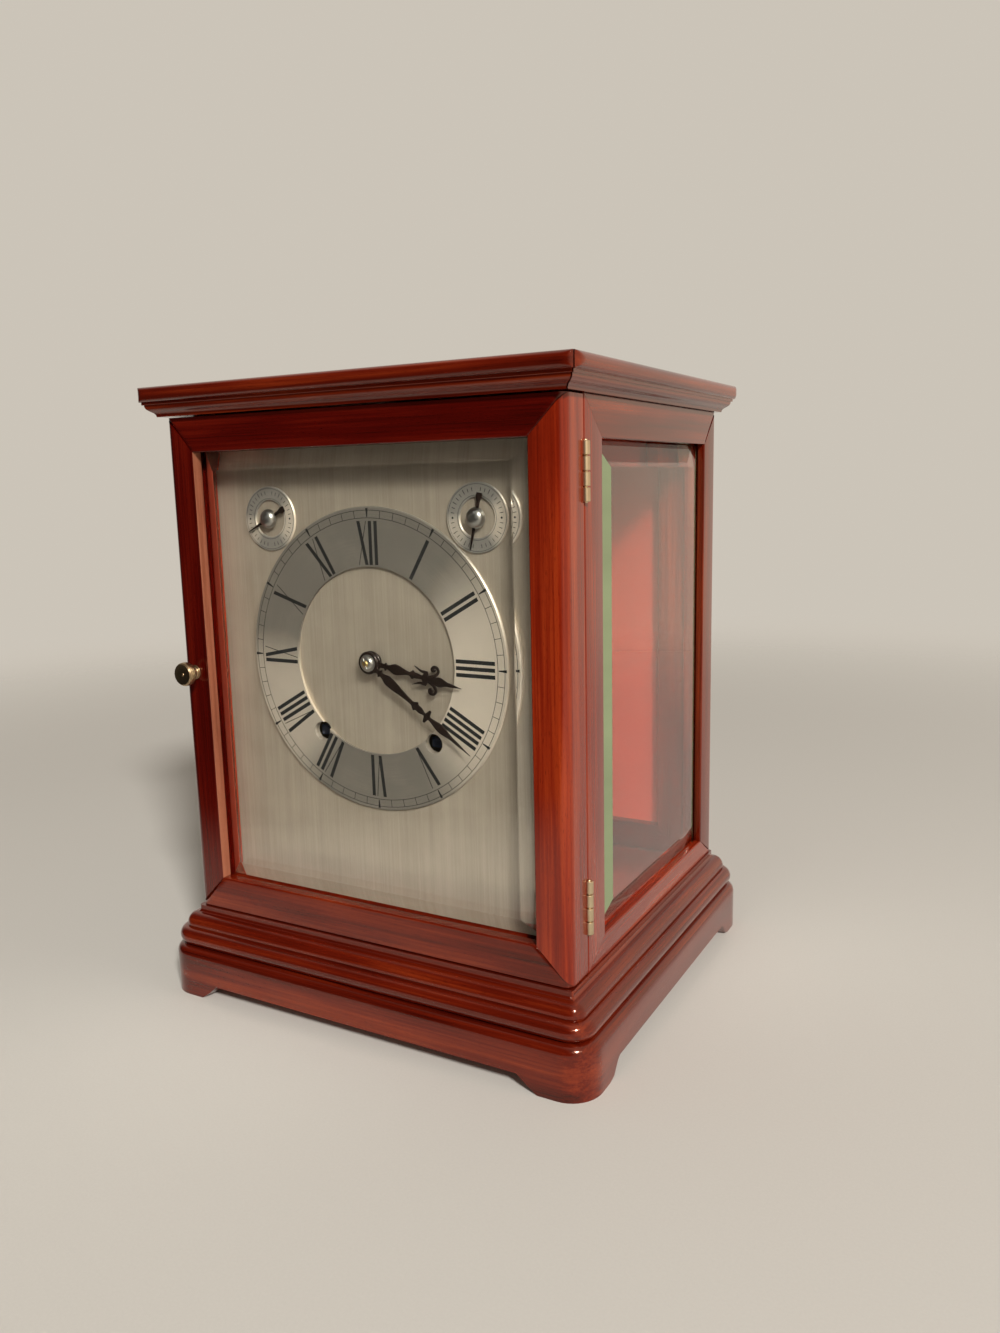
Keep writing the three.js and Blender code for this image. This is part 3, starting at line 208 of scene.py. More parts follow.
def makePiece(name, shells, finish, body, nodes=(), crease=35):
    # one mesh from its shells, outward facing, smooth except at edges sharper than the crease
    starts = np.cumsum([0] + [len(points) for points, _ in shells]).tolist()
    points = np.concatenate([points for points, _ in shells]) * mm
    faces = [[start + k for k in face] for start, (_, shell) in zip(starts, shells) for face in shell]
    mesh = bpy.data.meshes.new(name)
    mesh.from_pydata(points.tolist(), [], faces)
    work = bmesh.new()
    work.from_mesh(mesh)
    bmesh.ops.remove_doubles(work, verts=work.verts, dist=1e-7)
    bmesh.ops.dissolve_degenerate(work, edges=work.edges, dist=1e-8)
    bmesh.ops.recalc_face_normals(work, faces=work.faces)
    work.to_mesh(mesh)
    work.free()
    mesh.shade_smooth()
    mesh.set_sharp_from_angle(angle=math.radians(crease))
    piece = bpy.data.objects.new(name, mesh)
    scene.collection.objects.link(piece)
    mesh.materials.append(finishes[finish])
    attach(piece, body)
    if nodes:
        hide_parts(*nodes)
    return piece


def meshArray(items, key, width=1):
    # one value of every vertex, corner or face as an array
    values = np.empty(len(items) * width, float if width > 1 else int)
    items.foreach_get(key, values)
    return values.reshape(-1, width) if width > 1 else values


grain = {"shift": (0.731, 0.213, 0.397), "boards": itertools.count(1)}  # metres from one board to the next


def layGrain(piece, axisOf):
    # the place of each face corner in the board that it was cut from: along the grain, then across it
    mesh = piece.data
    axis = axisOf
    if callable(axisOf):
        total = meshArray(mesh.polygons, "loop_total")
        axis = np.repeat(axisOf(meshArray(mesh.polygons, "center", 3)), total)
    order = np.array([[0, 2, 1], [1, 2, 0], [2, 0, 1]])[np.broadcast_to(axis, len(mesh.loops))]
    points = meshArray(mesh.vertices, "co", 3)[meshArray(mesh.loops, "vertex_index")]
    board = np.take_along_axis(points, order, axis=1) + next(grain["boards"]) * np.array(grain["shift"])
    layer = mesh.attributes.new("board", "FLOAT_VECTOR", "CORNER")
    layer.data.foreach_set("vector", board.astype(np.float32).ravel())


# shader arithmetic
class Wire:
    # a shader value that takes part in Python arithmetic, one Math node for each operator
    def __init__(self, finish, socket):
        self.finish = finish
        self.socket = socket

    def join(self, operation, first, second):
        return self.finish.node("ShaderNodeMath", {"operation": operation}, {0: first, 1: second})

    def __add__(self, other):
        return self.join("ADD", self, other)

    def __radd__(self, other):
        return self.join("ADD", other, self)

    def __sub__(self, other):
        return self.join("SUBTRACT", self, other)

    def __rsub__(self, other):
        return self.join("SUBTRACT", other, self)

    def __mul__(self, other):
        return self.join("MULTIPLY", self, other)

    def __rmul__(self, other):
        return self.join("MULTIPLY", other, self)


class Finish:
    # the nodes of one material, or of the world
    def __init__(self, owner):
        owner.use_nodes = True
        self.tree = owner.node_tree
        self.tree.nodes.clear()

    def node(self, kind, settings=None, inputs=None, output=0):
        # any node: its type, then its settings, then the values or links of its sockets
        made = self.tree.nodes.new(kind)
        for key, value in (settings or {}).items():
            if key == "stops":
                for index, (place, colour) in enumerate(value):
                    stops = made.color_ramp.elements
                    stop = stops[index] if index < 2 else stops.new(place)
                    stop.position = place
                    stop.color = colour
            else:
                setattr(made, key, value)
        for key, value in (inputs or {}).items():
            if isinstance(value, Wire):
                self.tree.links.new(value.socket, made.inputs[key])
            else:
                made.inputs[key].default_value = value
        return Wire(self, made.outputs[output]) if len(made.outputs) else None

    def place(self, attribute=None):
        # where a point lies: in its board, or in the object's own frame
        if attribute:
            return self.node("ShaderNodeAttribute", {"attribute_name": attribute}, output="Vector")
        return self.node("ShaderNodeTexCoord", output="Object")

    def vector(self, operation, first, second=(0, 0, 0), output="Vector"):
        # one Vector Math node
        return self.node("ShaderNodeVectorMath", {"operation": operation}, {0: first, 1: second}, output)

    def noise(self, place, scale, detail=3.0, roughness=0.5):
        # noise of about 0 to 1, its grains to the metre in each direction
        stretched = self.vector("MULTIPLY", place, scale)
        sockets = {"Vector": stretched, "Scale": 1.0, "Detail": detail, "Roughness": roughness}
        return self.node("ShaderNodeTexNoise", {}, sockets)

    def step(self, value, low, high, kind="SMOOTHSTEP"):
        # 0 below the low value and 1 above the high one, eased or straight between them
        sockets = {"Value": value, "From Min": low, "From Max": high}
        return self.node("ShaderNodeMapRange", {"interpolation_type": kind}, sockets)

    def blend(self, share, first, second):
        # from the first colour to the second
        colours = {0: share, 6: first, 7: second}  # a Mix node's factor and its two colour sockets
        return self.node("ShaderNodeMix", {"data_type": "RGBA"}, colours, output=2)

    def mixed(self, share, first, second):
        # from the first shader to the second
        return self.node("ShaderNodeMixShader", {}, {0: share, 1: first, 2: second})

    def bump(self, height, strength, distance):
        # a normal leaning with the height's slope
        sockets = {"Strength": strength, "Distance": distance, "Height": height}
        return self.node("ShaderNodeBump", {}, sockets)

    def shader(self, **sockets):
        # a Principled shader, its sockets named with underscores
        named = {key.replace("_", " "): value for key, value in sockets.items()}
        return self.node("ShaderNodeBsdfPrincipled", {}, named)

    def close(self, shader, output="ShaderNodeOutputMaterial"):
        # the shader goes to the output
        self.node(output, {}, {"Surface": shader})


finishes = {}


def rgba(colour, share=1.0):
    # a colour made lighter or darker, with full alpha
    return (*(share * c for c in colour), 1.0)


def newFinish(name):
    # a fresh material, kept under its name
    finishes[name] = bpy.data.materials.new(name)
    return Finish(finishes[name])


def mahogany(name, dark, middle, light, gloss=0.5, attribute="board"):
    # ribbon figure, fine streaks and dark pores that all run along the board, under a clear polish
    wood = newFinish(name)
    place = wood.place(attribute)
    drift = wood.noise(place, (9.0, 26.0, 26.0), 2.0)
    ribbon = wood.noise(place, (3.5, 95.0, 95.0), 3.0, 0.55)
    streak = wood.noise(place, (16.0, 780.0, 780.0), 2.0, 0.6)
    pore = wood.noise(place, (300.0, 5200.0, 5200.0), 1.0)
    figure = ribbon * 0.5 + streak * 0.3 + drift * 0.34 - 0.07
    stops = [(0.34, rgba(dark)), (0.66, rgba(light)), (0.5, rgba(middle))]
    colour = wood.node("ShaderNodeValToRGB", {"stops": stops}, {0: figure})
    holes = wood.step(pore, 0.6, 0.72)
    polished = wood.shader(
        Base_Color=wood.blend(holes * 0.55, colour, rgba(dark)),
        Roughness=0.1 + streak * 0.1,
        Normal=wood.bump(streak * 0.5 - holes, 0.1, 0.0002),
        Coat_Weight=gloss,
        Coat_Roughness=0.06,
        Coat_IOR=1.5,
        Specular_IOR_Level=0.5,
        Specular_Tint=(1, 0.5, 0.36, 1),
    )
    wood.close(polished)


def brushedMetal(name, colour, shade, lines, roughness, metallic=1.0, wear=0.25):
    # fine scratches drawn out along one direction, over slow clouds of tarnish
    metal = newFinish(name)
    place = metal.place()
    scratch = metal.noise(place, lines, 3.0, 0.6)
    wide = metal.noise(place, tuple(s * 0.16 for s in lines), 2.0)
    cloud = metal.noise(place, (38.0, 38.0, 38.0), 4.0, 0.6)
    share = metal.step(scratch * 0.45 + wide * 0.35 + cloud * 0.4, 0.36, 0.84)
    brushed = metal.shader(
        Base_Color=metal.blend(share * wear + cloud * wear * 0.4, rgba(colour), rgba(shade)),
        Metallic=metallic,
        Roughness=roughness + scratch * 0.16 + cloud * 0.06,
        Normal=metal.bump(scratch + wide * 0.6, 0.06, 0.0001),
    )
    metal.close(brushed)


# painted highlight: the light colour and the two directions of the bright fans painted on spun silver
paintedFans = {"light": (0.82, 0.71, 0.58), "right": (0.992, 0, -0.122), "left": (-0.906, 0, -0.423)}


def spunMetal(name, centre, dark):
    # turned silver: fine rings about a centre, with the two bright fans that such a grain throws towards
    # the lamp painted into its colour as painted highlights
    metal = newFinish(name)
    away = metal.vector("SUBTRACT", metal.place(), tuple(c * mm for c in centre))
    flat = metal.vector("MULTIPLY", away, (1, 0, 1))
    radius = metal.vector("LENGTH", flat, output="Value")
    along = metal.vector("NORMALIZE", flat)
    right = metal.vector("DOT_PRODUCT", along, paintedFans["right"], "Value")
    left = metal.vector("DOT_PRODUCT", along, paintedFans["left"], "Value")
    sockets = {"W": radius * 2600.0, "Scale": 1.0}
    rings = metal.node("ShaderNodeTexNoise", {"noise_dimensions": "1D"}, sockets)
    cloud = metal.noise(metal.place(), (55.0, 55.0, 55.0), 4.0, 0.6)
    paintedSheen = metal.step(right, 0.52, 0.98) + metal.step(left, 0.76, 0.99) * 0.7
    share = paintedSheen * 0.85 + rings * 0.22 + cloud * 0.3 - 0.26
    spun = metal.shader(
        Base_Color=metal.blend(share, rgba(dark), rgba(paintedFans["light"])),
        Metallic=0.5,
        Roughness=0.3 + rings * 0.12 + cloud * 0.06,
        Normal=metal.bump(rings, 0.08, 0.0001),
    )
    metal.close(spun)


def wovenSilk(name, light, dark):
    # fine threads both ways over slow folds of shade
    cloth = newFinish(name)
    place = cloth.place()
    upright = cloth.noise(place, (2600.0, 2600.0, 120.0), 2.0)
    level = cloth.noise(place, (120.0, 2600.0, 2600.0), 2.0)
    fold = cloth.noise(place, (30.0, 30.0, 9.0), 3.0)
    share = upright * 0.5 + level * 0.5 + fold * 0.6 - 0.3
    woven = cloth.shader(
        Base_Color=cloth.blend(share, rgba(light), rgba(dark)),
        Roughness=0.75,
        Normal=cloth.bump(upright + level, 0.15, 0.0002),
        Specular_IOR_Level=0.2,
    )
    cloth.close(woven)


def clearGlass(name, edge=None):
    # plate glass that lets the lamps through to the dial; a tinted edge is a painted reflection, shown
    # where the bevel is seen aslant
    glass = newFinish(name)
    pane = glass.shader(Base_Color=(0.97, 0.985, 0.975, 1), Roughness=0.0, IOR=1.5, Transmission_Weight=1.0)
    if edge:
        bands = glass.noise(glass.place(), (4.0, 4.0, 60.0), 3.0)
        depth = glass.shader(Base_Color=glass.blend(bands, rgba(edge), rgba(edge, 1.5)), Roughness=0.12)
        facing = glass.node("ShaderNodeLayerWeight", {}, {"Blend": 0.5}, "Facing")
        pane = glass.mixed(glass.step(facing, 0.12, 0.27), pane, depth)
    clear = glass.node("ShaderNodeBsdfTransparent", {}, {"Color": (0.94, 0.96, 0.95, 1)})
    shadow = glass.node("ShaderNodeLightPath", output="Is Shadow Ray")
    glass.close(glass.mixed(shadow, pane, clear))


# dark, middle and light wood, then the gloss and where the grain comes from
woods = {
    # painted shade: this copy of the mahogany is the case wood darkened, for members that stand in shade
    "deepMahogany": ((0.025, 0.0008, 0.0003), (0.07, 0.0018, 0.0006), (0.15, 0.008, 0.0025)),
    "caseMahogany": ((0.035, 0.0015, 0.0005), (0.115, 0.0075, 0.0018), (0.25, 0.03, 0.006)),
    # painted light: this copy of the mahogany is the case wood lightened, for members that the lamp lights
    "brightMahogany": ((0.08, 0.003, 0.0008), (0.21, 0.014, 0.003), (0.4, 0.048, 0.009)),
    # painted light: a pale, lit copy of the wood for the lip before the glass
    "wornLip": ((0.18, 0.05, 0.026), (0.34, 0.12, 0.065), (0.45, 0.18, 0.105)),
    # painted shade: a darker copy of the wood for the faces behind the glass
    "sightEdge": ((0.04, 0.006, 0.003), (0.08, 0.0135, 0.0065), (0.115, 0.024, 0.012)),
    "seatWood": ((0.05, 0.014, 0.006), (0.11, 0.034, 0.014), (0.17, 0.06, 0.026), 0.1, None),
}
# clean and tarnished colour, scratches to the metre in x, y and z, roughness, then metallic and wear
metals = {
    "silveredPlate": (
        (0.53, 0.455, 0.365), (0.29, 0.235, 0.175), (1500.0, 1500.0, 16.0), 0.34, 0.55, 0.45,
    ),
    "caseBrass": ((0.74, 0.61, 0.41), (0.4, 0.3, 0.18), (260.0, 260.0, 260.0), 0.26, 1.0, 0.5),
    "knobBrass": ((0.55, 0.42, 0.26), (0.26, 0.17, 0.09), (260.0, 260.0, 260.0), 0.2, 1.0, 0.6),
    "dullBrass": ((0.16, 0.1, 0.04), (0.08, 0.05, 0.02), (500.0, 500.0, 18.0), 0.4),
    "movementBrass": ((0.72, 0.52, 0.22), (0.42, 0.27, 0.09), (500.0, 500.0, 18.0), 0.24),
    "blackSteel": ((0.014, 0.008, 0.006), (0.03, 0.012, 0.007), (300.0, 300.0, 300.0), 0.3, 0.4),
    "bluedSteel": ((0.035, 0.04, 0.06), (0.02, 0.02, 0.026), (300.0, 300.0, 300.0), 0.26, 0.9),
    "brightSteel": ((0.5, 0.49, 0.46), (0.28, 0.27, 0.25), (420.0, 420.0, 420.0), 0.2),
    "blackIron": ((0.035, 0.034, 0.033), (0.02, 0.02, 0.02), (180.0, 180.0, 180.0), 0.45, 0.3),
    "blackWax": ((0.003, 0.0025, 0.0025), (0.008, 0.007, 0.006), (900.0, 900.0, 900.0), 0.75, 0.0),
}
for name, values in woods.items():
    mahogany(name, *values)
for name, values in metals.items():
    brushedMetal(name, *values)
clearGlass("bevelledGlass")
# painted reflections on bevels seen aslant: a green glow of light carried inside the glass on the side and
# back panes, and the mahogany's red on the door's bevel
clearGlass("greenReflectionBevel", (0.2, 0.25, 0.14))
clearGlass("woodReflectionBevel", (0.45, 0.075, 0.04))
wovenSilk("redSilk", (0.5, 0.048, 0.02), (0.34, 0.027, 0.011))
print("finishes made")

# plinth: a square frame with rounded corners and bracket feet
plinth = {
    "over": 13.6, "edge": 4.4, "corner": 14.5, "cornerGrowth": 1.2, "leastCorner": 1.5, "wall": 17.0,
    "foot": 26.1, "rise": 7.6, "run": 7.5, "hollow": 1.7,
    "footColumns": (0.02, 0.09, 4), "curveColumns": (0.095, 0.16, 22), "middleColumns": (0.2, 0.8, 9),
}
plinthHigh = corners("plinth")[1]
caseHalf = plinthHigh[:2] - plinth["over"]


def baseCorner(over):
    # the corners of the base round off more the further it stands out from the case
    radius = plinth["corner"] - plinth["cornerGrowth"] * (plinth["over"] - over)
    return np.maximum(radius, plinth["leastCorner"])


def footGap(inFromEnd):
    # how high the lower edge is at a distance from the plinth's corner: a hollow curve beside each foot
    share = np.clip((inFromEnd - plinth["foot"]) / plinth["run"], 0, 1)
    return plinth["rise"] * (plinth["hollow"] * share * (1 - share) + share**2)


def sideGrain(centre):
    # grain along each side, meeting at a mitre in the corners
    over = np.abs(centre[:, :2]) - caseHalf * mm
    return np.where(over[:, 0] > over[:, 1], 1, 0)


def makePlinth():
    # a closed wall profile run round the base, its lower edge lifted between the feet
    top, edge, over = plinthHigh[2], plinth["edge"], plinth["over"]
    ends = np.concatenate([np.linspace(*plinth["footColumns"]), np.linspace(*plinth["curveColumns"])])
    shares = np.concatenate([ends, np.linspace(*plinth["middleColumns"]), 1 - ends[::-1]])
    place, angle = loopPlaces(shares, 10)
    rise = np.linspace(0, 1, 4)[:, None] * [0, top - edge] + [over, 0]
    inner = over - plinth["wall"]
    profile = chain(rise, arc((over - edge, top - edge), (edge, edge), 0, 90, 9), [inner, top], [inner, 0])
    points = ringGrid(profile, *caseHalf, baseCorner, place, angle)
    inFrom = plinthHigh[:2] - np.abs(points[0, :, :2])
    inFrom = np.where(place % 2 <= 1, inFrom[:, 0], inFrom[:, 1])
    lift = footGap(np.where(place % 1 > 0, inFrom, 0))
    points[..., 2] += (1 - np.clip(points[..., 2] / (top - edge), 0, 1)) * lift
    shell = gridShell(points, True, True)
    piece = makePiece("plinth_body", [shell], "caseMahogany", "case", ["plinth"])
    layGrain(piece, sideGrain)


makePlinth()

# base moulding: torus, quirk, ovolo, cove and neck under the case
moulding = {
    "torusOver": 11.6, "torusSwell": 4.3, "torus": 8.6, "quirk": 0.7, "quirkHigh": 0.6, "ovoloOver": 7.2,
    "ovolo": 6.0, "filletOver": 2.0, "cove": 2.0, "neckOver": 0.8, "ease": 0.3, "bed": 1.0,
}


def makeMoulding():
    # the moulding's profile runs round the case with corners that round off as it stands out
    low, high = corners("base_moulding")
    core, halfTorus = moulding["torusOver"] - moulding["torusSwell"], moulding["torus"] / 2
    ovoloLow = low[2] + moulding["torus"] + moulding["quirkHigh"]
    ovoloTop = ovoloLow + moulding["ovolo"]
    over, fillet, neck, ease = (moulding[key] for key in ("ovoloOver", "filletOver", "neckOver", "ease"))
    profile = chain(
        [core - moulding["bed"], low[2]],
        arc((core, low[2] + halfTorus), (moulding["torusSwell"], halfTorus), -90, 90, 16),
        [core - moulding["quirk"], low[2] + moulding["torus"]],
        [core - moulding["quirk"], ovoloLow],
        [over - ease, ovoloLow],
        [over, ovoloLow + ease],
        arc((fillet, ovoloLow + ease), (over - fillet, moulding["ovolo"] - ease), 0, 90, 14),
        bend([[fillet, ovoloTop], [neck, ovoloTop], [neck, ovoloTop + moulding["cove"]]], 8),
        [neck, high[2]],
    )
    points = ringGrid(profile, *caseHalf, baseCorner, *loopPlaces(np.linspace(0.1, 0.9, 9), 10))
    shells = [sectionShell(points)]
    piece = makePiece("moulded_base", shells, "caseMahogany", "case", ["base_moulding"])
    layGrain(piece, sideGrain)


makeMoulding()

# cornice: four strips mitred at the corners, with one joint that has opened
cornice = {
    "lip": 2.4, "cyma": 3.8, "cymaHigh": 5.4, "waveLow": 2.7, "waveHigh": 2.2, "step": 0.8, "stepHigh": 1.2,
    "swell": 3.0, "seat": 5.0, "corner": 7.5, "joint": 0.12, "crack": 0.9, "ease": 0.15, "endShare": 0.045,
}
corniceReach = sum(cornice[key] for key in ("lip", "cyma", "step", "swell"))


def corniceProfile():
    # overhang and height round the strip: lip, cyma, small step, bull nose and the flat inner side
    low, high = (corner[2] for corner in corners("cornice_front"))
    cyma = cornice["lip"] + cornice["cyma"]
    step, ease = cyma + cornice["step"], cornice["ease"]
    shelf = low + cornice["cymaHigh"]
    nose = shelf + cornice["stepHigh"]
    half = (high - nose) / 2
    lip = cornice["lip"]
    wave = [[lip, low], [lip, low + cornice["waveLow"]], [cyma, low + cornice["waveHigh"]], [cyma, shelf]]
    return chain(
        [-cornice["seat"], low],
        bend(wave, 14),
        [step - ease, shelf],
        [step, shelf + ease],
        [step, nose],
        arc((step, nose + half), (cornice["swell"], half), -90, 90, 18),
        [-cornice["seat"], high],
    )


def makeCorniceStrip(node, axis, outward, gapAtEnds):
    # the profile carried along one side, cut to a mitre at both ends, its corner rounded in plan
    over, level = corniceProfile().T[:, :, None]
    ends = np.linspace(0, 1, 10) ** 2 * cornice["endShare"]
    share = np.concatenate([ends, np.linspace(0.1, 0.9, 9), 1 - ends[::-1]])
    half = caseHalf[axis] + over
    along = -half + gapAtEnds[0] + (2 * half - sum(gapAtEnds)) * share
    points = np.zeros((*along.shape, 3))
    points[..., axis] = along
    points[..., 1 - axis] = outward * (caseHalf[1 - axis] + over)
    points[..., 2] = level
    plan = np.abs(points[..., :2])
    limit = caseHalf + corniceReach - cornice["corner"]
    past = np.maximum(plan - limit, 0)
    reach = np.linalg.norm(past, axis=-1)
    inCorner = (past.min(axis=-1) > 0) & (reach > cornice["corner"])
    pull = np.where(inCorner, cornice["corner"] / np.maximum(reach, 1e-6), 1)[..., None]
    points[..., :2] = np.sign(points[..., :2]) * (np.minimum(plan, limit) + past * pull)
    shell = sectionShell(points.transpose(1, 0, 2))
    piece = makePiece(node + "_strip", [shell], "caseMahogany", "case", [node])
    layGrain(piece, axis)


tight, wide = cornice["joint"] / 2, cornice["crack"] / 2
makeCorniceStrip("cornice_front", 0, -1, (tight, wide))
makeCorniceStrip("cornice_back", 0, 1, (tight, tight))
makeCorniceStrip("cornice_left", 1, -1, (tight, tight))
makeCorniceStrip("cornice_right", 1, 1, (wide, tight))

topShell = blockShell(*corners("top_board"), 0.2)
topBoard = makePiece("top_panel", [topShell], "caseMahogany", "case", ["top_board"])
layGrain(topBoard, 0)
print("base, cornice and top made")

# glazed frames: four mitred members each, grooved for the glass; turn counts quarter turns from the front
# each member's finish below is the case mahogany or a lit or shaded copy of it: painted light and painted
# shade, member by member
frames = {
    "door": {
        "stiles": ("left", "right"), "turn": 0, "edges": (4.8, 4.8), "lip": 5.3, "body": "front_door",
        "finish": ("deepMahogany", "brightMahogany", "deepMahogany", "caseMahogany"),
        "sight": ("wornLip", "sightEdge"),
    },
    "right": {
        "stiles": ("front", "rear"), "turn": 1, "edges": (0.7, 3.0), "lip": 3.5, "body": "case",
        "finish": ("brightMahogany", "caseMahogany", "caseMahogany", "brightMahogany"),
    },
    "back": {
        "stiles": ("left", "right"), "turn": 2, "edges": (0.7, 0.7), "lip": 5.3, "body": "back_door",
        "finish": ("caseMahogany", "deepMahogany", "caseMahogany", "deepMahogany"),
    },
    "left": {
        "stiles": ("rear", "front"), "turn": 3, "edges": (3.0, 0.7), "lip": 3.5, "body": "case",
        "finish": ("caseMahogany", "brightMahogany", "caseMahogany", "deepMahogany"),
    },
}
member = {"slot": 4.2, "rebate": 4.2, "arris": 0.7, "ease": 0.4, "joint": 0.07, "endShare": 0.04}


def memberProfile(width, thickness, lip, edge):
    # offset from the outer edge and depth, round the section: outer edge, face, sight edge, groove, back
    arris, ease = member["arris"], member["ease"]
    rebate, slotEnd = width - member["rebate"], lip + member["slot"]
    return chain(
        arc((edge, edge), (edge, edge), 180, 270, 12),
        arc((width - arris, arris), (arris, arris), 270, 360, 5),
        [[width, lip], [rebate, lip], [rebate, slotEnd], [width, slotEnd]],
        [[width, thickness - ease], [width - ease, thickness], [ease, thickness], [0, thickness - ease]],
    )


def roundedBack(inFrom, radius):
    # how far a face falls back near an upright outer edge of that radius: a quarter circle
    inFrom = np.clip(inFrom, 0, radius)
    return radius - np.sqrt(np.maximum(radius**2 - (radius - inFrom) ** 2, 0))


def paintSight(piece, names, front):
    # faces that look into the opening: the lip before the glass is painted light, a pale lit copy of the
    # wood, and the redder wood behind it is painted shade, a darker copy
    for name in names:
        piece.data.materials.append(finishes[name])
    facing = meshArray(piece.data.polygons, "normal", 3)[:, 0] > 0.8
    behind = meshArray(piece.data.polygons, "center", 3)[:, 1] > front * mm
    piece.data.polygons.foreach_set("material_index", (facing * (1 + behind)).astype(np.int32))


def makeFrame(name, panel):
    # members in the frame's own plane, x to the right, z up and y into its thickness, turned into place
    nodes = [name + "_" + end + "_stile" for end in panel["stiles"]]
    nodes += [name + "_" + end + "_rail" for end in ("top", "bottom")]
    boxes = np.array([corners(node) for node in nodes])
    low, high = boxes[:, 0].min(axis=0), boxes[:, 1].max(axis=0)
    sideways = panel["turn"] % 2
    width, thickness, height = (high - low)[[sideways, 1 - sideways, 2]]
    left, right = (boxes[:2, 1] - boxes[:2, 0])[:, sideways]
    top, bottom = (boxes[2:, 1] - boxes[2:, 0])[:, 2]
    plans = [
        ("left", left, height, (top, bottom), panel["edges"][0]),
        ("right", right, height, (bottom, top), panel["edges"][1]),
        ("top", top, width, (right, left), member["ease"]),
        ("bottom", bottom, width, (left, right), member["ease"]),
    ]
    ends = np.linspace(0, 1, 12) ** 1.5 * member["endShare"]
    share = np.concatenate([ends, np.linspace(0.1, 0.9, 7), 1 - ends[::-1]])
    for node, finish, (side, across, length, beside, edge) in zip(nodes, panel["finish"], plans):
        inward, depth = memberProfile(across, thickness, panel["lip"], edge).T[:, :, None]
        start = inward * beside[0] / across + member["joint"]
        end = length - inward * beside[1] / across - member["joint"]
        along = start + (end - start) * share
        inward, depth = inward + 0 * along, depth + 0 * along
        x = {"left": inward, "right": width - inward, "top": width - along, "bottom": along}[side]
        z = {"left": height - along, "right": along, "top": height - inward, "bottom": inward}[side]
        if side in ("top", "bottom"):
            fall = np.maximum(roundedBack(x, panel["edges"][0]), roundedBack(width - x, panel["edges"][1]))
            depth = np.maximum(depth, fall)
        flat = [
            (low[0] + x, low[1] + depth),
            (high[0] - depth, low[1] + x),
            (high[0] - x, high[1] - depth),
            (low[0] + depth, high[1] - x),
        ][panel["turn"]]
        shell = sectionShell(np.stack([*flat, low[2] + z], axis=-1).transpose(1, 0, 2))
        piece = makePiece(node + "_wood", [shell], finish, panel["body"], [node])
        layGrain(piece, 2 if side in ("left", "right") else sideways)
        if "sight" in panel and side == "left":
            paintSight(piece, panel["sight"], low[1] + panel["lip"])


for name, panel in frames.items():
    makeFrame(name, panel)

# bevelled panes: the slope is on the outer face, and steep on the door's glass
pane = {"edge": 1.8, "bevel": 11.6, "grip": 4.0, "round": 0.25, "doorEdge": 0.7, "doorBevel": 8.8}


def makePane(node, panel):
    # rectangles one behind the other: inner face, edge in the groove, sloping bevel and outer face
    low, high = corners(node)
    sideways = panel["turn"] % 2
    deep = 1 - sideways
    half, centre = (high - low) / 2, (high + low) / 2
    outer, inner = (high[deep], low[deep]) if panel["turn"] in (1, 2) else (low[deep], high[deep])
    isDoor = node == "door_glass"
    thin = inner - np.sign(inner - outer) * pane["doorEdge" if isDoor else "edge"]
    start = pane["grip"] if isDoor else 0
    slope = pane["grip"] + pane["doorBevel" if isDoor else "bevel"]
    fall = (outer - thin) / (slope - start) * pane["round"]
    inset = np.array([0, 0, start, slope - pane["round"], slope + pane["round"]])[:, None]
    depth = np.array([inner, thin, thin, outer - fall, outer])[:, None]
    points = np.empty((len(inset), 4, 3))
    points[..., sideways] = centre[sideways] + (half[sideways] - inset) * [-1, 1, 1, -1]
    points[..., 2] = centre[2] + (half[2] - inset) * [-1, -1, 1, 1]
    points[..., deep] = depth
    shells = [sectionShell(points)]
    piece = makePiece(node + "_pane", shells, "bevelledGlass", panel["body"], [node], 5)
    piece.data.materials.append(finishes["woodReflectionBevel" if isDoor else "greenReflectionBevel"])
    normal = meshArray(piece.data.polygons, "normal", 3)
    # bevel faces that lean towards the view take the painted reflection
    leaning = -normal[:, sideways] if isDoor else np.abs(normal[:, sideways])
    index = np.where((leaning > 0.05) & (leaning < 0.9), 1, 0)
    if node == "back_glass":
        piece.data.materials.append(finishes["redSilk"])  # the lining inside the back door
        index[normal[:, 1] < -0.9] = 2
    piece.data.polygons.foreach_set("material_index", index.astype(np.int32))


for name, panel in frames.items():
    makePane(name + "_glass", panel)
print("frames and glass made")

# turned brass knobs: a narrow neck, a swelling bulb and a shallow dished face with a centre dot
knob = {"radius": 5.8, "neck": 2.3, "reach": 9.5, "face": 5.15, "widest": 6.4}


def makeKnob(node, body, outward):
    # the knob's profile of (radius, reach) turned about an axis square to the stile
    low, high = corners(node)
    foot = high[1] if outward < 0 else low[1]
    radius, neck, reach, face, widest = (knob[key] for key in ("radius", "neck", "reach", "face", "widest"))
    profile = chain(
        [[0, 0], [neck + 0.9, 0]],
        arc((neck + 0.9, 0.5), (0.3, 0.4), 0, 90, 4),
        bend([[neck + 0.6, 0.9], [neck, 1.2], [neck, 2.2]], 6),
        bend([[neck, 2.2], [neck + 0.3, 3.6], [radius, 3.9], [radius, widest]], 14),
        bend([[radius, widest], [radius, reach - 0.9], [face, reach - 0.75]], 8),
        arc((face - 0.3, reach - 0.75), (0.3, 0.35), 0, 90, 4),
        bend([[face - 0.35, reach - 0.4], [face * 0.6, reach - 0.85], [1.0, reach - 0.8]], 8),
        arc((0, reach - 0.85), (0.75, 0.45), 0, 90, 5),
    )
    shell = turnedShell(profile * [1, outward] + [0, foot], (low + high) / 2, 56)
    makePiece(node + "_turning", [shell], "knobBrass", body, [node], 50)


makeKnob("door_knob", "front_door", -1)
makeKnob("back_knob", "back_door", 1)

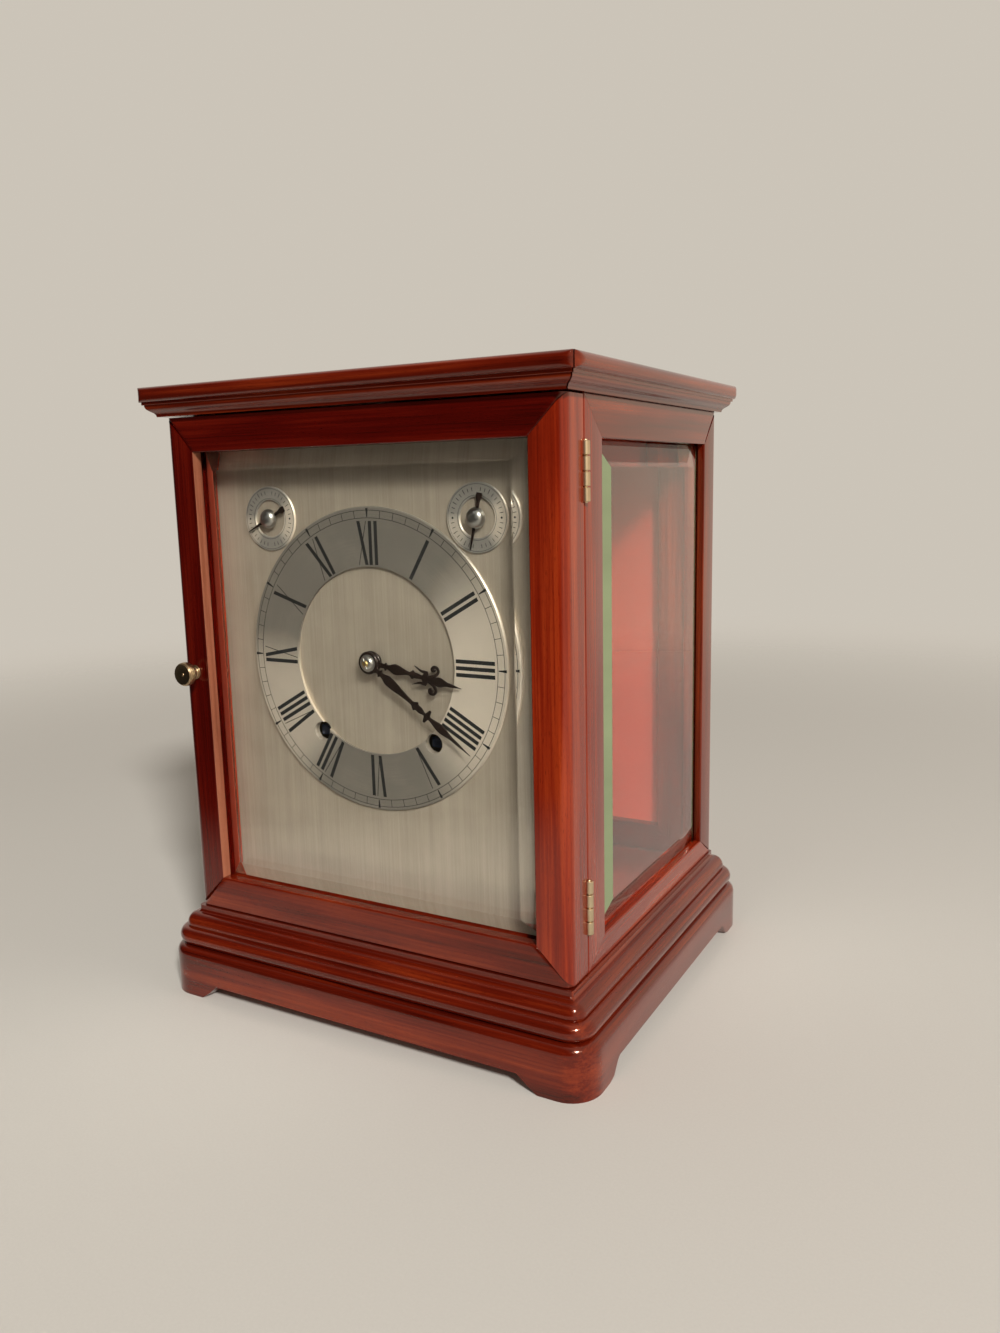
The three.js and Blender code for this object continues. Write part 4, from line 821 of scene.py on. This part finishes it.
# butt hinges: leaves with two knuckles each, and a pin through all four
hinge = {
    "length": 24.5, "knuckle": 1.85, "pin": 0.85, "pinEnd": 0.25, "leaf": 0.9, "width": 9.0, "gap": 0.5,
    "play": 0.05, "root": 0.6, "ease": 0.12, "chamfer": (0.25, 0.25), "pinChamfer": (0.2, 0.25),
}


def makeLeaf(node, body, pin, along, faceSign, isDoor):
    # a flat leaf beside the pin, and a round bar for each knuckle at every other quarter of its length
    low = corners(node)[0]
    base, top, quarter = low[2], low[2] + hinge["length"], hinge["length"] / 4
    inward = -1 if low[along] < pin[along] - hinge["width"] / 2 else 1
    leaf = np.empty((2, 3))
    leaf[:, along] = np.sort(pin[along] + inward * np.array([hinge["width"], hinge["root"]]))
    leaf[:, 1 - along] = np.sort(pin[1 - along] + faceSign * (hinge["play"] + np.array([0, hinge["leaf"]])))
    leaf[:, 2] = base, top
    bars = []
    for k in (1, 3) if isDoor else (0, 2):
        start, end = base + k * quarter + hinge["gap"] / 2, base + (k + 1) * quarter - hinge["gap"] / 2
        bars.append((barProfile(hinge["knuckle"], start, end, hinge["chamfer"]), 28))
    if not isDoor:
        start, end = base - hinge["pinEnd"], top + hinge["pinEnd"]
        bars.append((barProfile(hinge["pin"], start, end, hinge["pinChamfer"]), 20))
    shells = [turnedShell(profile, pin, sides, 2) for profile, sides in bars]
    shells = [blockShell(*leaf, hinge["ease"]), *shells]
    makePiece(node + "_brass", shells, "caseBrass", body, [node], 40)


for level in ("upper", "lower"):
    makeLeaf("door_" + level + "_leaf", "front_door", pinOf["front_door_hinge"], 0, -1, True)
    makeLeaf("case_" + level + "_leaf", "case", pinOf["front_door_hinge"], 0, 1, False)
    makeLeaf("back_" + level + "_leaf", "back_door", pinOf["back_door_hinge"], 1, 1, True)
    makeLeaf("rear_case_" + level + "_leaf", "case", pinOf["back_door_hinge"], 1, -1, False)
print("knobs and hinges made")

# dial: brushed silvered plate with raised rings
dial = {
    "ring": 70.0, "bore": 42.85, "ringEase": 0.45, "winder": 4.5, "thick": 2.0, "centreHole": 3.8,
    "subHole": 1.5, "sub": 15.0, "subBore": 8.5, "subThick": 0.8, "subEase": 0.28, "seat": 0.05,
    "footX": 48.0, "footZ": 44.0, "footRadius": 2.5, "footSunk": 0.5,
    "ringDark": (0.218, 0.195, 0.165), "subDark": (0.3, 0.28, 0.25),
}
dialCentre = pinOf["minute_turn"]
subCentres = [pinOf["slow_fast_turn"], pinOf["strike_silent_turn"]]
winderCentres = [pinOf["strike_winder_turn"], pinOf["going_winder_turn"]]
ringBack = dialCentre[1] - dial["seat"]
ringFront = corners("chapter_ring")[0][1]
subFront = corners("slow_fast_ring")[0][1]


def circle(centre, radius, steps):
    # a closed circle in x and z
    return arc(centre[[0, 2]], (radius, radius), 0, 360, steps)[:-1]


def makeDialPlate():
    # a rectangle with holes for the arbors, cut right through, on four round feet
    low, high = corners("dial_plate")
    outline = [[low[0], low[2]], [high[0], low[2]], [high[0], high[2]], [low[0], high[2]]]
    holes = [circle(dialCentre, dial["centreHole"], 40)]
    holes += [circle(centre, dial["winder"], 56) for centre in winderCentres]
    holes += [circle(centre, dial["subHole"], 24) for centre in subCentres]
    back = dialCentre[1] + dial["thick"]
    shells = [cutShell([outline, *holes], dialCentre[1], back)]
    foot = barProfile(dial["footRadius"], back - dial["footSunk"], high[1], (0, 0))
    for x, z in itertools.product((-dial["footX"], dial["footX"]), (-dial["footZ"], dial["footZ"])):
        shells.append(turnedShell(chain(foot), (x, 0, dialCentre[2] + z), 24))
    makePiece("dial_sheet", shells, "silveredPlate", "case", ["dial_plate"], 30)


def makeSubRing(node, centre):
    # a flat ring turned about its centre, both its front edges eased
    outer, inner, ease = dial["sub"], dial["subBore"], dial["subEase"]
    front = ringBack - dial["subThick"]
    profile = [[inner, ringBack], [outer, ringBack], [outer, front + ease]]
    profile += [[outer - ease, front], [inner + ease, front], [inner, front + ease]]
    silver = node + "_silver"
    spunMetal(silver, centre, dial["subDark"])
    shell = turnedShell(profile, centre, 96, hollow=True)
    makePiece(silver, [shell], silver, "case", [node], 30)


def notchedBore(radius):
    # the ring's inner edge, which runs out round each winding hole where the two circles cross
    hub, hole = dialCentre[[0, 2]], dial["winder"]
    away = np.array([centre[[0, 2]] for centre in winderCentres]) - hub
    distance = np.linalg.norm(away, axis=1)
    middle = np.degrees(np.arctan2(away[:, 1], away[:, 0]))
    half = np.degrees(np.arccos((distance**2 + radius**2 - hole**2) / (2 * distance * radius)))
    order = np.argsort(middle)
    parts = []
    for here, after in zip(order, np.roll(order, -1)):
        end = middle[here] + half[here]
        crossings = arc(hub, (radius, radius), middle[here] - half[here], end, 1) - hub - away[here]
        first, last = np.degrees(np.arctan2(crossings[:, 1], crossings[:, 0]))
        first -= 360 * (first > middle[here])
        last += 360 * (last < middle[here])
        parts.append(arc(hub + away[here], (hole, hole), first, last, 39))
        stop = middle[after] - half[after]
        stop += 360 * (stop < middle[here])
        parts.append(arc(hub, (radius, radius), end, stop, 89)[1:-1])
    return np.concatenate(parts)


def makeChapterRing():
    # a sheet with the notched bore, and a turned strip for its eased outer edge
    radius, ease = dial["ring"], dial["ringEase"]
    inner = radius - ease
    outline = circle(dialCentre, inner, 200)
    sheet = cutShell([outline, notchedBore(dial["bore"] + ease)], ringFront, ringBack, rimmed=True)
    profile = [[inner, ringFront], [radius, ringFront + ease], [radius, ringBack], [inner, ringBack]]
    rim = turnedShell(profile, dialCentre, 200, hollow=True)
    rim = rim[0], rim[1][:-200]  # without the wall between the strip and the sheet
    spunMetal("hourRingSilver", dialCentre, dial["ringDark"])
    makePiece("hour_ring", [sheet, rim], "hourRingSilver", "case", ["chapter_ring"], 30)


makeDialPlate()
makeChapterRing()
makeSubRing("slow_fast_ring", subCentres[0])
makeSubRing("strike_silent_ring", subCentres[1])
print("dial plate and rings made")

# engraving: strokes drawn upright at twelve o'clock, turned to their hour and filled with black
engraving = {"low": 44.0, "high": 63.5, "thick": 1.75, "thin": 0.34, "deep": 0.06}
numerals = ["XII", "I", "II", "III", "IIII", "V", "VI", "VII", "VIII", "IX", "X", "XI"]
# each letter's pitch, then its strokes: place across at the top and at the bottom, and weight
letters = {
    "I": (3.0, [(1.5, 1.5, "thick")]),
    "V": (5.4, [(0.7, 2.7, "thick"), (4.9, 3.0, "thin")]),
    "X": (5.6, [(0.8, 4.8, "thick"), (5.0, 0.6, "thin")]),
}
track = {
    "inner": 64.9, "outer": 68.3, "line": 0.24, "minute": 0.26,
    "hour": (0.5, 1.3), "inset": 0.4, "past": 0.9,
}
subMarks = {
    "inner": 11.2, "outer": 12.8, "long": 0.5, "wide": (0.22, 0.3), "count": 36, "circles": (9.4, 14.1),
    "line": 0.16, "pin": 11.9, "pinProfile": [[0, -0.12], [0.4, -0.1], [0.55, 0.1], [0, 0.1]],
}


def strokesOf(numeral):
    # the strokes of its letters side by side, about the numeral's middle
    strokes, place = [], 0
    for letter in numeral:
        pitch, lines = letters[letter]
        strokes += [(place + top, place + bottom, engraving[weight]) for top, bottom, weight in lines]
        place += pitch
    return np.array(strokes) - [place / 2, place / 2, 0]


def filledStrokes(quads, front):
    # flat four-cornered strokes, in the plane of the dial, filled to just proud of the metal
    near = np.insert(quads, 1, front - engraving["deep"] / 2, axis=2)
    far = np.insert(quads, 1, front + engraving["deep"] / 2, axis=2)
    points = np.concatenate([near, far], axis=1).reshape(-1, 3)
    box = np.array([[0, 1, 2, 3], [7, 6, 5, 4], [0, 4, 5, 1], [1, 5, 6, 2], [2, 6, 7, 3], [3, 7, 4, 0]])
    faces = (box[None] + 8 * np.arange(len(quads))[:, None, None]).reshape(-1, 4).tolist()
    return points, faces


def turnedFlat(points, degrees, centre):
    # points (across, outward) turned clockwise about a centre of the dial
    a = np.radians(degrees)
    across, out = points[..., 0], points[..., 1]
    x = centre[0] + out * np.sin(a) + across * np.cos(a)
    z = centre[2] + out * np.cos(a) - across * np.sin(a)
    return np.stack([x, z], axis=-1)


def radialStrokes(degrees, inner, outer, wide, centre):
    # strokes that point outward at each angle, with a width at each end
    degrees = np.array(degrees, float)[:, None]
    inner, outer = (np.broadcast_to(radius, len(degrees)) for radius in (inner, outer))
    out = np.column_stack([inner, inner, outer, outer])
    across = np.array([-wide[0], wide[0], wide[1], -wide[1]]) / 2 + 0 * out
    return turnedFlat(np.stack([across, out], axis=-1), degrees, centre)


def thinRing(centre, radius, wide, front):
    # a hairline circle: a small rectangle turned about the centre
    inner, outer = radius - wide / 2, radius + wide / 2
    near, far = front - engraving["deep"] / 2, front + engraving["deep"] / 2
    profile = [[inner, near], [outer, near], [outer, far], [inner, far]]
    return turnedShell(profile, centre, 180, hollow=True)


def makeNumerals():
    # each stroke is a quad from its bottom place at the low radius to its top place at the high one
    low, high = engraving["low"], engraving["high"]
    quads = []
    for hour, numeral in enumerate(numerals):
        top, bottom, wide = strokesOf(numeral).T[:, :, None]
        across = np.concatenate([bottom, bottom, top, top], axis=1) + wide / 2 * [-1, 1, 1, -1]
        out = np.array([low, low, high, high]) + 0 * across
        quads.append(turnedFlat(np.stack([across, out], axis=-1), 30 * hour, dialCentre))
    strokes = filledStrokes(np.concatenate(quads), ringFront)
    makePiece("hour_numerals", [strokes], "blackWax", "case")


def makeMinuteTrack():
    # strokes at the minutes between two circles, and a longer wedge at each hour
    inner, outer, minute = track["inner"], track["outer"], track["minute"]
    minutes = [6 * k for k in range(60) if k % 5]
    hours = [30 * k for k in range(12)]
    quads = [
        radialStrokes(minutes, inner, outer, (minute, minute), dialCentre),
        radialStrokes(hours, inner + track["inset"], outer + track["past"], track["hour"], dialCentre),
    ]
    circles = [thinRing(dialCentre, radius, track["line"], ringFront) for radius in (inner, outer)]
    shells = [filledStrokes(np.concatenate(quads), ringFront), *circles]
    makePiece("minute_track", shells, "blackWax", "case")


def makeSubMarks(name, centre):
    # plain graduations round a small ring between two circles, and a pin on each side
    marks = np.array([k for k in range(subMarks["count"]) if k % 9])
    outer = subMarks["outer"] + np.where(marks % 3, 0, subMarks["long"])
    turn = marks * 360 / subMarks["count"]
    quads = radialStrokes(turn, subMarks["inner"], outer, subMarks["wide"], centre)
    pin = np.array(subMarks["pinProfile"]) + [0, subFront]
    pins = [turnedShell(pin, centre + [side * subMarks["pin"], 0, 0], 16) for side in (-1, 1)]
    circles = [thinRing(centre, radius, subMarks["line"], subFront) for radius in subMarks["circles"]]
    shells = [filledStrokes(quads, subFront), *pins, *circles]
    makePiece(name, shells, "blackWax", "case")


makeNumerals()
makeMinuteTrack()
makeSubMarks("slow_fast_marks", subCentres[0])
makeSubMarks("strike_silent_marks", subCentres[1])
print("engraving made")

# hands: blades with a rounded section; knots are (reach, half width)
hands = {
    "thick": 0.9, "boss": 5.2, "bossProud": 0.1, "pipe": (2.4, 3.36), "pipeSunk": 0.4,
    "blunt": 0.55, "thinnest": 0.35, "fullWidth": 0.9, "leafBlunt": 0.7, "leafDepth": 0.92,
}
minuteHand = {
    "angle": 126.0,
    "knots": [
        (3.6, 1.5), (6.6, 1.1), (7.6, 2.1), (8.5, 1.1), (12.9, 2.45), (28.0, 0.95),
        (30.6, 2.4), (31.4, 1.5), (33.2, 1.5), (36.2, 0.7), (37.3, 3.4), (38.1, 3.4),
        (39.0, 0.8), (46.0, 2.0), (54.0, 0.75), (64.3, 0.12),
    ],
}
hourHand = {
    "angle": 100.5,
    "knots": [
        (3.6, 1.5), (7.2, 1.1), (8.2, 2.0), (9.1, 1.1), (13.4, 2.5), (21.0, 0.9), (22.8, 2.1), (23.8, 1.4),
        (27.6, 1.0), (29.2, 3.4), (30.2, 3.4), (31.4, 0.9), (36.8, 2.25), (41.5, 0.9), (48.2, 0.12),
    ],
    "scroll": [
        (0.4, 30.4), (1.3, 32.2), (2.4, 34.4), (4.2, 35.7),
        (5.9, 35.0), (6.1, 33.3), (4.9, 32.5), (4.4, 33.3),
    ],
    "scrollWidths": (0.85, 0.75, 0.7, 0.65, 0.85, 1.0),
    "thorn": [(0.5, 30.0), (2.5, 29.2), (2.8, 26.8), (4.3, 23.2)],
    "thornWidths": (0.9, 0.85, 0.6, 0.12),
    "eye": (4.8, 33.2), "eyeRadius": 1.15, "eyeSunk": 0.05,
}
collet = {
    "bore": 1.7, "foot": 3.9, "footHigh": 0.4, "step": (3.5, 0.55), "dome": (3.3, 0.35),
    "pin": [(-2.6, 0), (2.3, 0)], "pinRadii": (0.3, 0.42), "pinAngle": 70.0, "pinProud": 0.12,
}
subHand = {
    "angles": (244.0, 192.0), "clear": 1.55, "thick": 0.7, "arbor": 1.35,
    "dome": 4.5, "domeFoot": (0.5, 0.6), "domeStep": 0.2,
    "pointer": [(2.0, 0.8), (7.0, 0.6), (13.6, 0.25)],
    "tail": [(2.0, 0.8), (6.5, 0.75), (9.2, 1.6), (10.6, 1.35)],
}


def bladeShell(knots, degrees, centre, front, thick, steps=160):
    # half width eased from knot to knot along the reach, with a superellipse section
    reach, half = np.array(knots, float).T
    along = np.unique(np.concatenate([np.linspace(reach[0], reach[-1], steps), reach]))
    k = np.clip(np.searchsorted(reach, along, side="right") - 1, 0, len(reach) - 2)
    t = (along - reach[k]) / (reach[k + 1] - reach[k])
    width = (half[k] + (half[k + 1] - half[k]) * t * t * (3 - 2 * t))[:, None]
    across, deep = superellipse(16, hands["blunt"])
    thin = np.minimum(1, hands["thinnest"] + width / hands["fullWidth"])  # narrow parts are thinner too
    flat = np.stack([width * across, along[:, None] + 0 * across], axis=-1)
    x, z = np.moveaxis(turnedFlat(flat, degrees, centre), -1, 0)
    return sectionShell(np.stack([x, front + thick / 2 + thick / 2 * deep * thin, z], axis=-1))


def leafShell(points, halfWidths, side, degrees, centre, front, thick):
    # a tapering scroll or thorn along a smooth curve in the plane of the hand
    flat = turnedFlat(smoothThrough(points, 48) * [side, 1], degrees, centre)
    path = np.insert(flat, 1, front + thick / 2, axis=1)
    width = np.interp(np.linspace(0, 1, 48), np.linspace(0, 1, len(halfWidths)), halfWidths)
    return sweptShell(path, width, thick / 2 * hands["leafDepth"], (0, 1, 0), 12, hands["leafBlunt"])


def discShell(centre, radius, front, back, sides=56, ease=0.25):
    # a round disc turned about its centre, with its front edge eased
    profile = [[0, front], [radius - ease, front], [radius, front + ease], [radius, back], [0, back]]
    return turnedShell(profile, centre, sides)


def makeMinuteHand():
    # a blade on a round boss
    low, high = corners("minute_hand")
    blade = bladeShell(minuteHand["knots"], minuteHand["angle"], dialCentre, low[1], hands["thick"])
    boss = discShell(dialCentre, hands["boss"], low[1] - hands["bossProud"], high[1])
    shells = [blade, boss]
    makePiece("minute_pointer", shells, "blackSteel", "minute_work", ["minute_hand"], 40)


def makeHourHand():
    # a blade with a scroll, its round eye and a thorn on each side, a boss, and the pipe behind it
    low, high = corners("hour_hand")
    front, angle, thick = low[1], hourHand["angle"], hands["thick"]
    shells = [bladeShell(hourHand["knots"], angle, dialCentre, front, thick)]
    for side in (-1, 1):
        for leaf in ("scroll", "thorn"):
            widths = hourHand[leaf + "Widths"]
            shells.append(leafShell(hourHand[leaf], widths, side, angle, dialCentre, front, thick))
        x, z = turnedFlat(np.array(hourHand["eye"]) * [side, 1], angle, dialCentre)
        sunk = hourHand["eyeSunk"]
        shells.append(discShell((x, 0, z), hourHand["eyeRadius"], front + sunk, front + thick - sunk, 24))
    shells.append(discShell(dialCentre, hands["boss"], front, front + thick))
    (bore, outside), start = hands["pipe"], front + hands["pipeSunk"]
    pipe = [[bore, start], [outside, start], [outside, high[1]], [bore, high[1]]]
    shells.append(turnedShell(pipe, dialCentre, 32, hollow=True))
    makePiece("hour_pointer", shells, "blackSteel", "hour_work", ["hour_hand"], 40)


def makeCollet():
    # a domed washer with a stepped foot turned about the arbor, and the tapered pin across its tip
    low, high = corners("hand_collet")
    back, front = high[1], low[1]
    bore, foot = collet["bore"], collet["foot"]
    (step, stepHigh), (dome, domeHigh) = collet["step"], collet["dome"]
    profile = chain(
        [[bore, back], [foot, back], [foot, back - collet["footHigh"]]],
        bend([[step, back - stepHigh], [dome, front + domeHigh], [bore, front]], 10),
    )
    washer = turnedShell(profile, dialCentre, 48, hollow=True)
    ends = turnedFlat(np.array(collet["pin"]), collet["pinAngle"], dialCentre)
    radii = np.array(collet["pinRadii"])
    pin = sweptShell(np.insert(ends, 1, front - collet["pinProud"], axis=1), radii, radii, (0, 1, 0))
    shells = [washer, pin]
    makePiece("domed_collet", shells, "brightSteel", "minute_work", ["hand_collet"], 40)


def makeSubHand(node, body, centre, degrees):
    # a slim pointer, a spade tail and a domed collet on an arbor through the dial
    low, high = corners(node)
    back, thick = dialCentre[1] - subHand["clear"], subHand["thick"]
    front = back - thick
    pointer = bladeShell(subHand["pointer"], degrees, centre, front, thick, 40)
    tail = bladeShell(subHand["tail"], degrees + 180, centre, front, thick, 40)
    arbor = chain(barProfile(subHand["arbor"], back, high[1], (0, 0)))
    shells = [pointer, tail, turnedShell(arbor, centre, 24)]
    makePiece(node + "_steel", shells, "blackSteel", body, [node], 40)
    radius, inner = subHand["dome"], subHand["dome"] - subHand["domeStep"]
    wall, shoulder = (back - foot for foot in subHand["domeFoot"])
    dome = chain(
        [[0, back], [radius, back], [radius, wall]],
        arc((0, shoulder), (inner, shoulder - low[1]), 0, -90, 14),
    )
    shell = turnedShell(dome, centre, 48)
    makePiece(node + "_collet", [shell], "brightSteel", body, (), 40)


makeMinuteHand()
makeHourHand()
makeCollet()
makeSubHand("slow_fast_hand", "slow_fast", subCentres[0], subHand["angles"][0])
makeSubHand("strike_silent_hand", "strike_silent", subCentres[1], subHand["angles"][1])
print("hands made")

# movement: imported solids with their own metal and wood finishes
movement = {
    "dullBrass": ("front_plate",),
    "movementBrass": ("back_plate", "strike_barrel", "going_barrel", "centre_arbor", "pendulum"),
    "bluedSteel": ("strike_winding_arbor", "going_winding_arbor", "gong_coil"),
    "brightSteel": ("strike_hammer",),
    "blackIron": ("gong_stand",),
    "seatWood": ("seat_board", "left_cheek", "right_cheek"),
}
for finish, nodes in movement.items():
    for node in nodes:
        frame["nodes"][node].data.materials.clear()
        frame["nodes"][node].data.materials.append(finishes[finish])
print("movement finished")

# floor, light and camera
stage = {
    "floor": (0.7, 0.69, 0.66), "near": 0.45, "far": 1.5, "dimNear": 0.27, "dimFar": 0.45,
    "world": (1.0, 0.92, 0.8), "warm": (1.0, 0.8, 0.62), "worldPower": 0.25, "background": 0.6,
    "dim": 0.015, "dimSide": (-0.55, -0.835, 0.0), "dimTurn": (0.1, 0.6),
    "bright": 1.35, "warmTurn": (0.05, 0.4),
}
lamp = {
    "place": (2.4, -2.25, 2.38), "target": (0, 0, 0.15),
    "size": 0.55, "power": 155.0, "colour": (1.0, 0.95, 0.88),
}
view = {
    "place": (0.2781, -0.4588, 0.2527), "azimuth": 29.17, "elevation": 10.04, "roll": -1.34,
    "focal": 1041.0, "longSide": 1333,
}


def makeFloor():
    # a square sheet that fades out far away, and in mirrors also towards the room's dim side
    mesh = bpy.data.meshes.new("floor")
    square = 2 * stage["far"] * np.array([[-1, -1, 0], [1, -1, 0], [1, 1, 0], [-1, 1, 0]])
    mesh.from_pydata(square.tolist(), [], [(0, 1, 2, 3)])
    floor = bpy.data.objects.new("floor", mesh)
    scene.collection.objects.link(floor)
    cloth = newFinish("paleFloor")
    weave = cloth.noise(cloth.place(), (900.0, 900.0, 900.0), 2.0)
    tone = cloth.blend(weave, rgba(stage["floor"]), rgba(stage["floor"], 0.94))
    away = cloth.vector("LENGTH", cloth.place(), output="Value")
    towards = cloth.vector("DOT_PRODUCT", cloth.place(), stage["dimSide"], "Value")
    mirrored = 1 - cloth.node("ShaderNodeLightPath", output="Is Camera Ray")
    dim = cloth.step(towards, stage["dimNear"], stage["dimFar"]) * mirrored
    fade = 1 - (1 - cloth.step(away, stage["near"], stage["far"])) * (1 - dim)
    cover = cloth.shader(Base_Color=tone, Roughness=0.9, Specular_IOR_Level=0.1)
    cloth.close(cloth.mixed(fade, cover, cloth.node("ShaderNodeBsdfTransparent")))
    mesh.materials.append(finishes["paleFloor"])


def makeWorld():
    # a plain pale background; polish and glass see it dim towards the front left and warm to the right
    # as a light on matt surfaces it is weaker
    scene.world = bpy.data.worlds.new("studio")
    sky = Finish(scene.world)
    direction = sky.node("ShaderNodeTexCoord", output="Generated")
    across = sky.node("ShaderNodeSeparateXYZ", {}, {0: direction}, "X")
    towards = sky.vector("DOT_PRODUCT", direction, stage["dimSide"], "Value")
    camera = sky.node("ShaderNodeLightPath", output="Is Camera Ray")
    diffuse = sky.node("ShaderNodeLightPath", output="Is Diffuse Ray")
    plain = stage["background"]
    level = plain + sky.step(towards, *stage["dimTurn"]) * (stage["dim"] - plain)
    level = level * (1 + sky.step(across, *stage["warmTurn"]) * (stage["bright"] - 1))
    level = level + camera * (plain - level)
    level = level + diffuse * (stage["worldPower"] - level)
    warmth = sky.step(across, *stage["warmTurn"], "LINEAR")
    tone = sky.blend(warmth, rgba(stage["world"]), rgba(stage["warm"]))
    tone = sky.blend(camera, tone, rgba(stage["world"]))
    background = sky.node("ShaderNodeBackground", {}, {"Color": tone, "Strength": level})
    sky.close(background, "ShaderNodeOutputWorld")


def makeLamp():
    # one round lamp turned to its target
    light = bpy.data.lights.new("key", "AREA")
    light.shape = "DISK"
    light.size = lamp["size"]
    light.energy = lamp["power"]
    light.color = lamp["colour"]
    holder = bpy.data.objects.new("key", light)
    holder.location = lamp["place"]
    holder.rotation_mode = "QUATERNION"
    holder.rotation_quaternion = (Vector(lamp["target"]) - Vector(lamp["place"])).to_track_quat("-Z", "Y")
    scene.collection.objects.link(holder)


def makeCamera():
    # the camera's axes from its azimuth, elevation and roll; focal length and long side are in pixels
    a, e, r = (math.radians(view[key]) for key in ("azimuth", "elevation", "roll"))
    back = Vector((math.sin(a) * math.cos(e), -math.cos(a) * math.cos(e), math.sin(e)))
    right = Vector((math.cos(a), math.sin(a), 0))
    up = back.cross(right)
    tiltedRight = math.cos(r) * right + math.sin(r) * up
    tiltedUp = math.cos(r) * up - math.sin(r) * right
    lens = bpy.data.cameras.new("camera")
    lens.sensor_width = 36.0
    lens.lens = lens.sensor_width * view["focal"] / view["longSide"]
    lens.clip_start = 0.01
    camera = bpy.data.objects.new("camera", lens)
    turn = Matrix((tiltedRight, tiltedUp, back)).transposed()
    camera.matrix_world = Matrix.Translation(view["place"]) @ turn.to_4x4()
    scene.collection.objects.link(camera)
    scene.camera = camera


makeFloor()
makeWorld()
makeLamp()
makeCamera()

print("scene made")
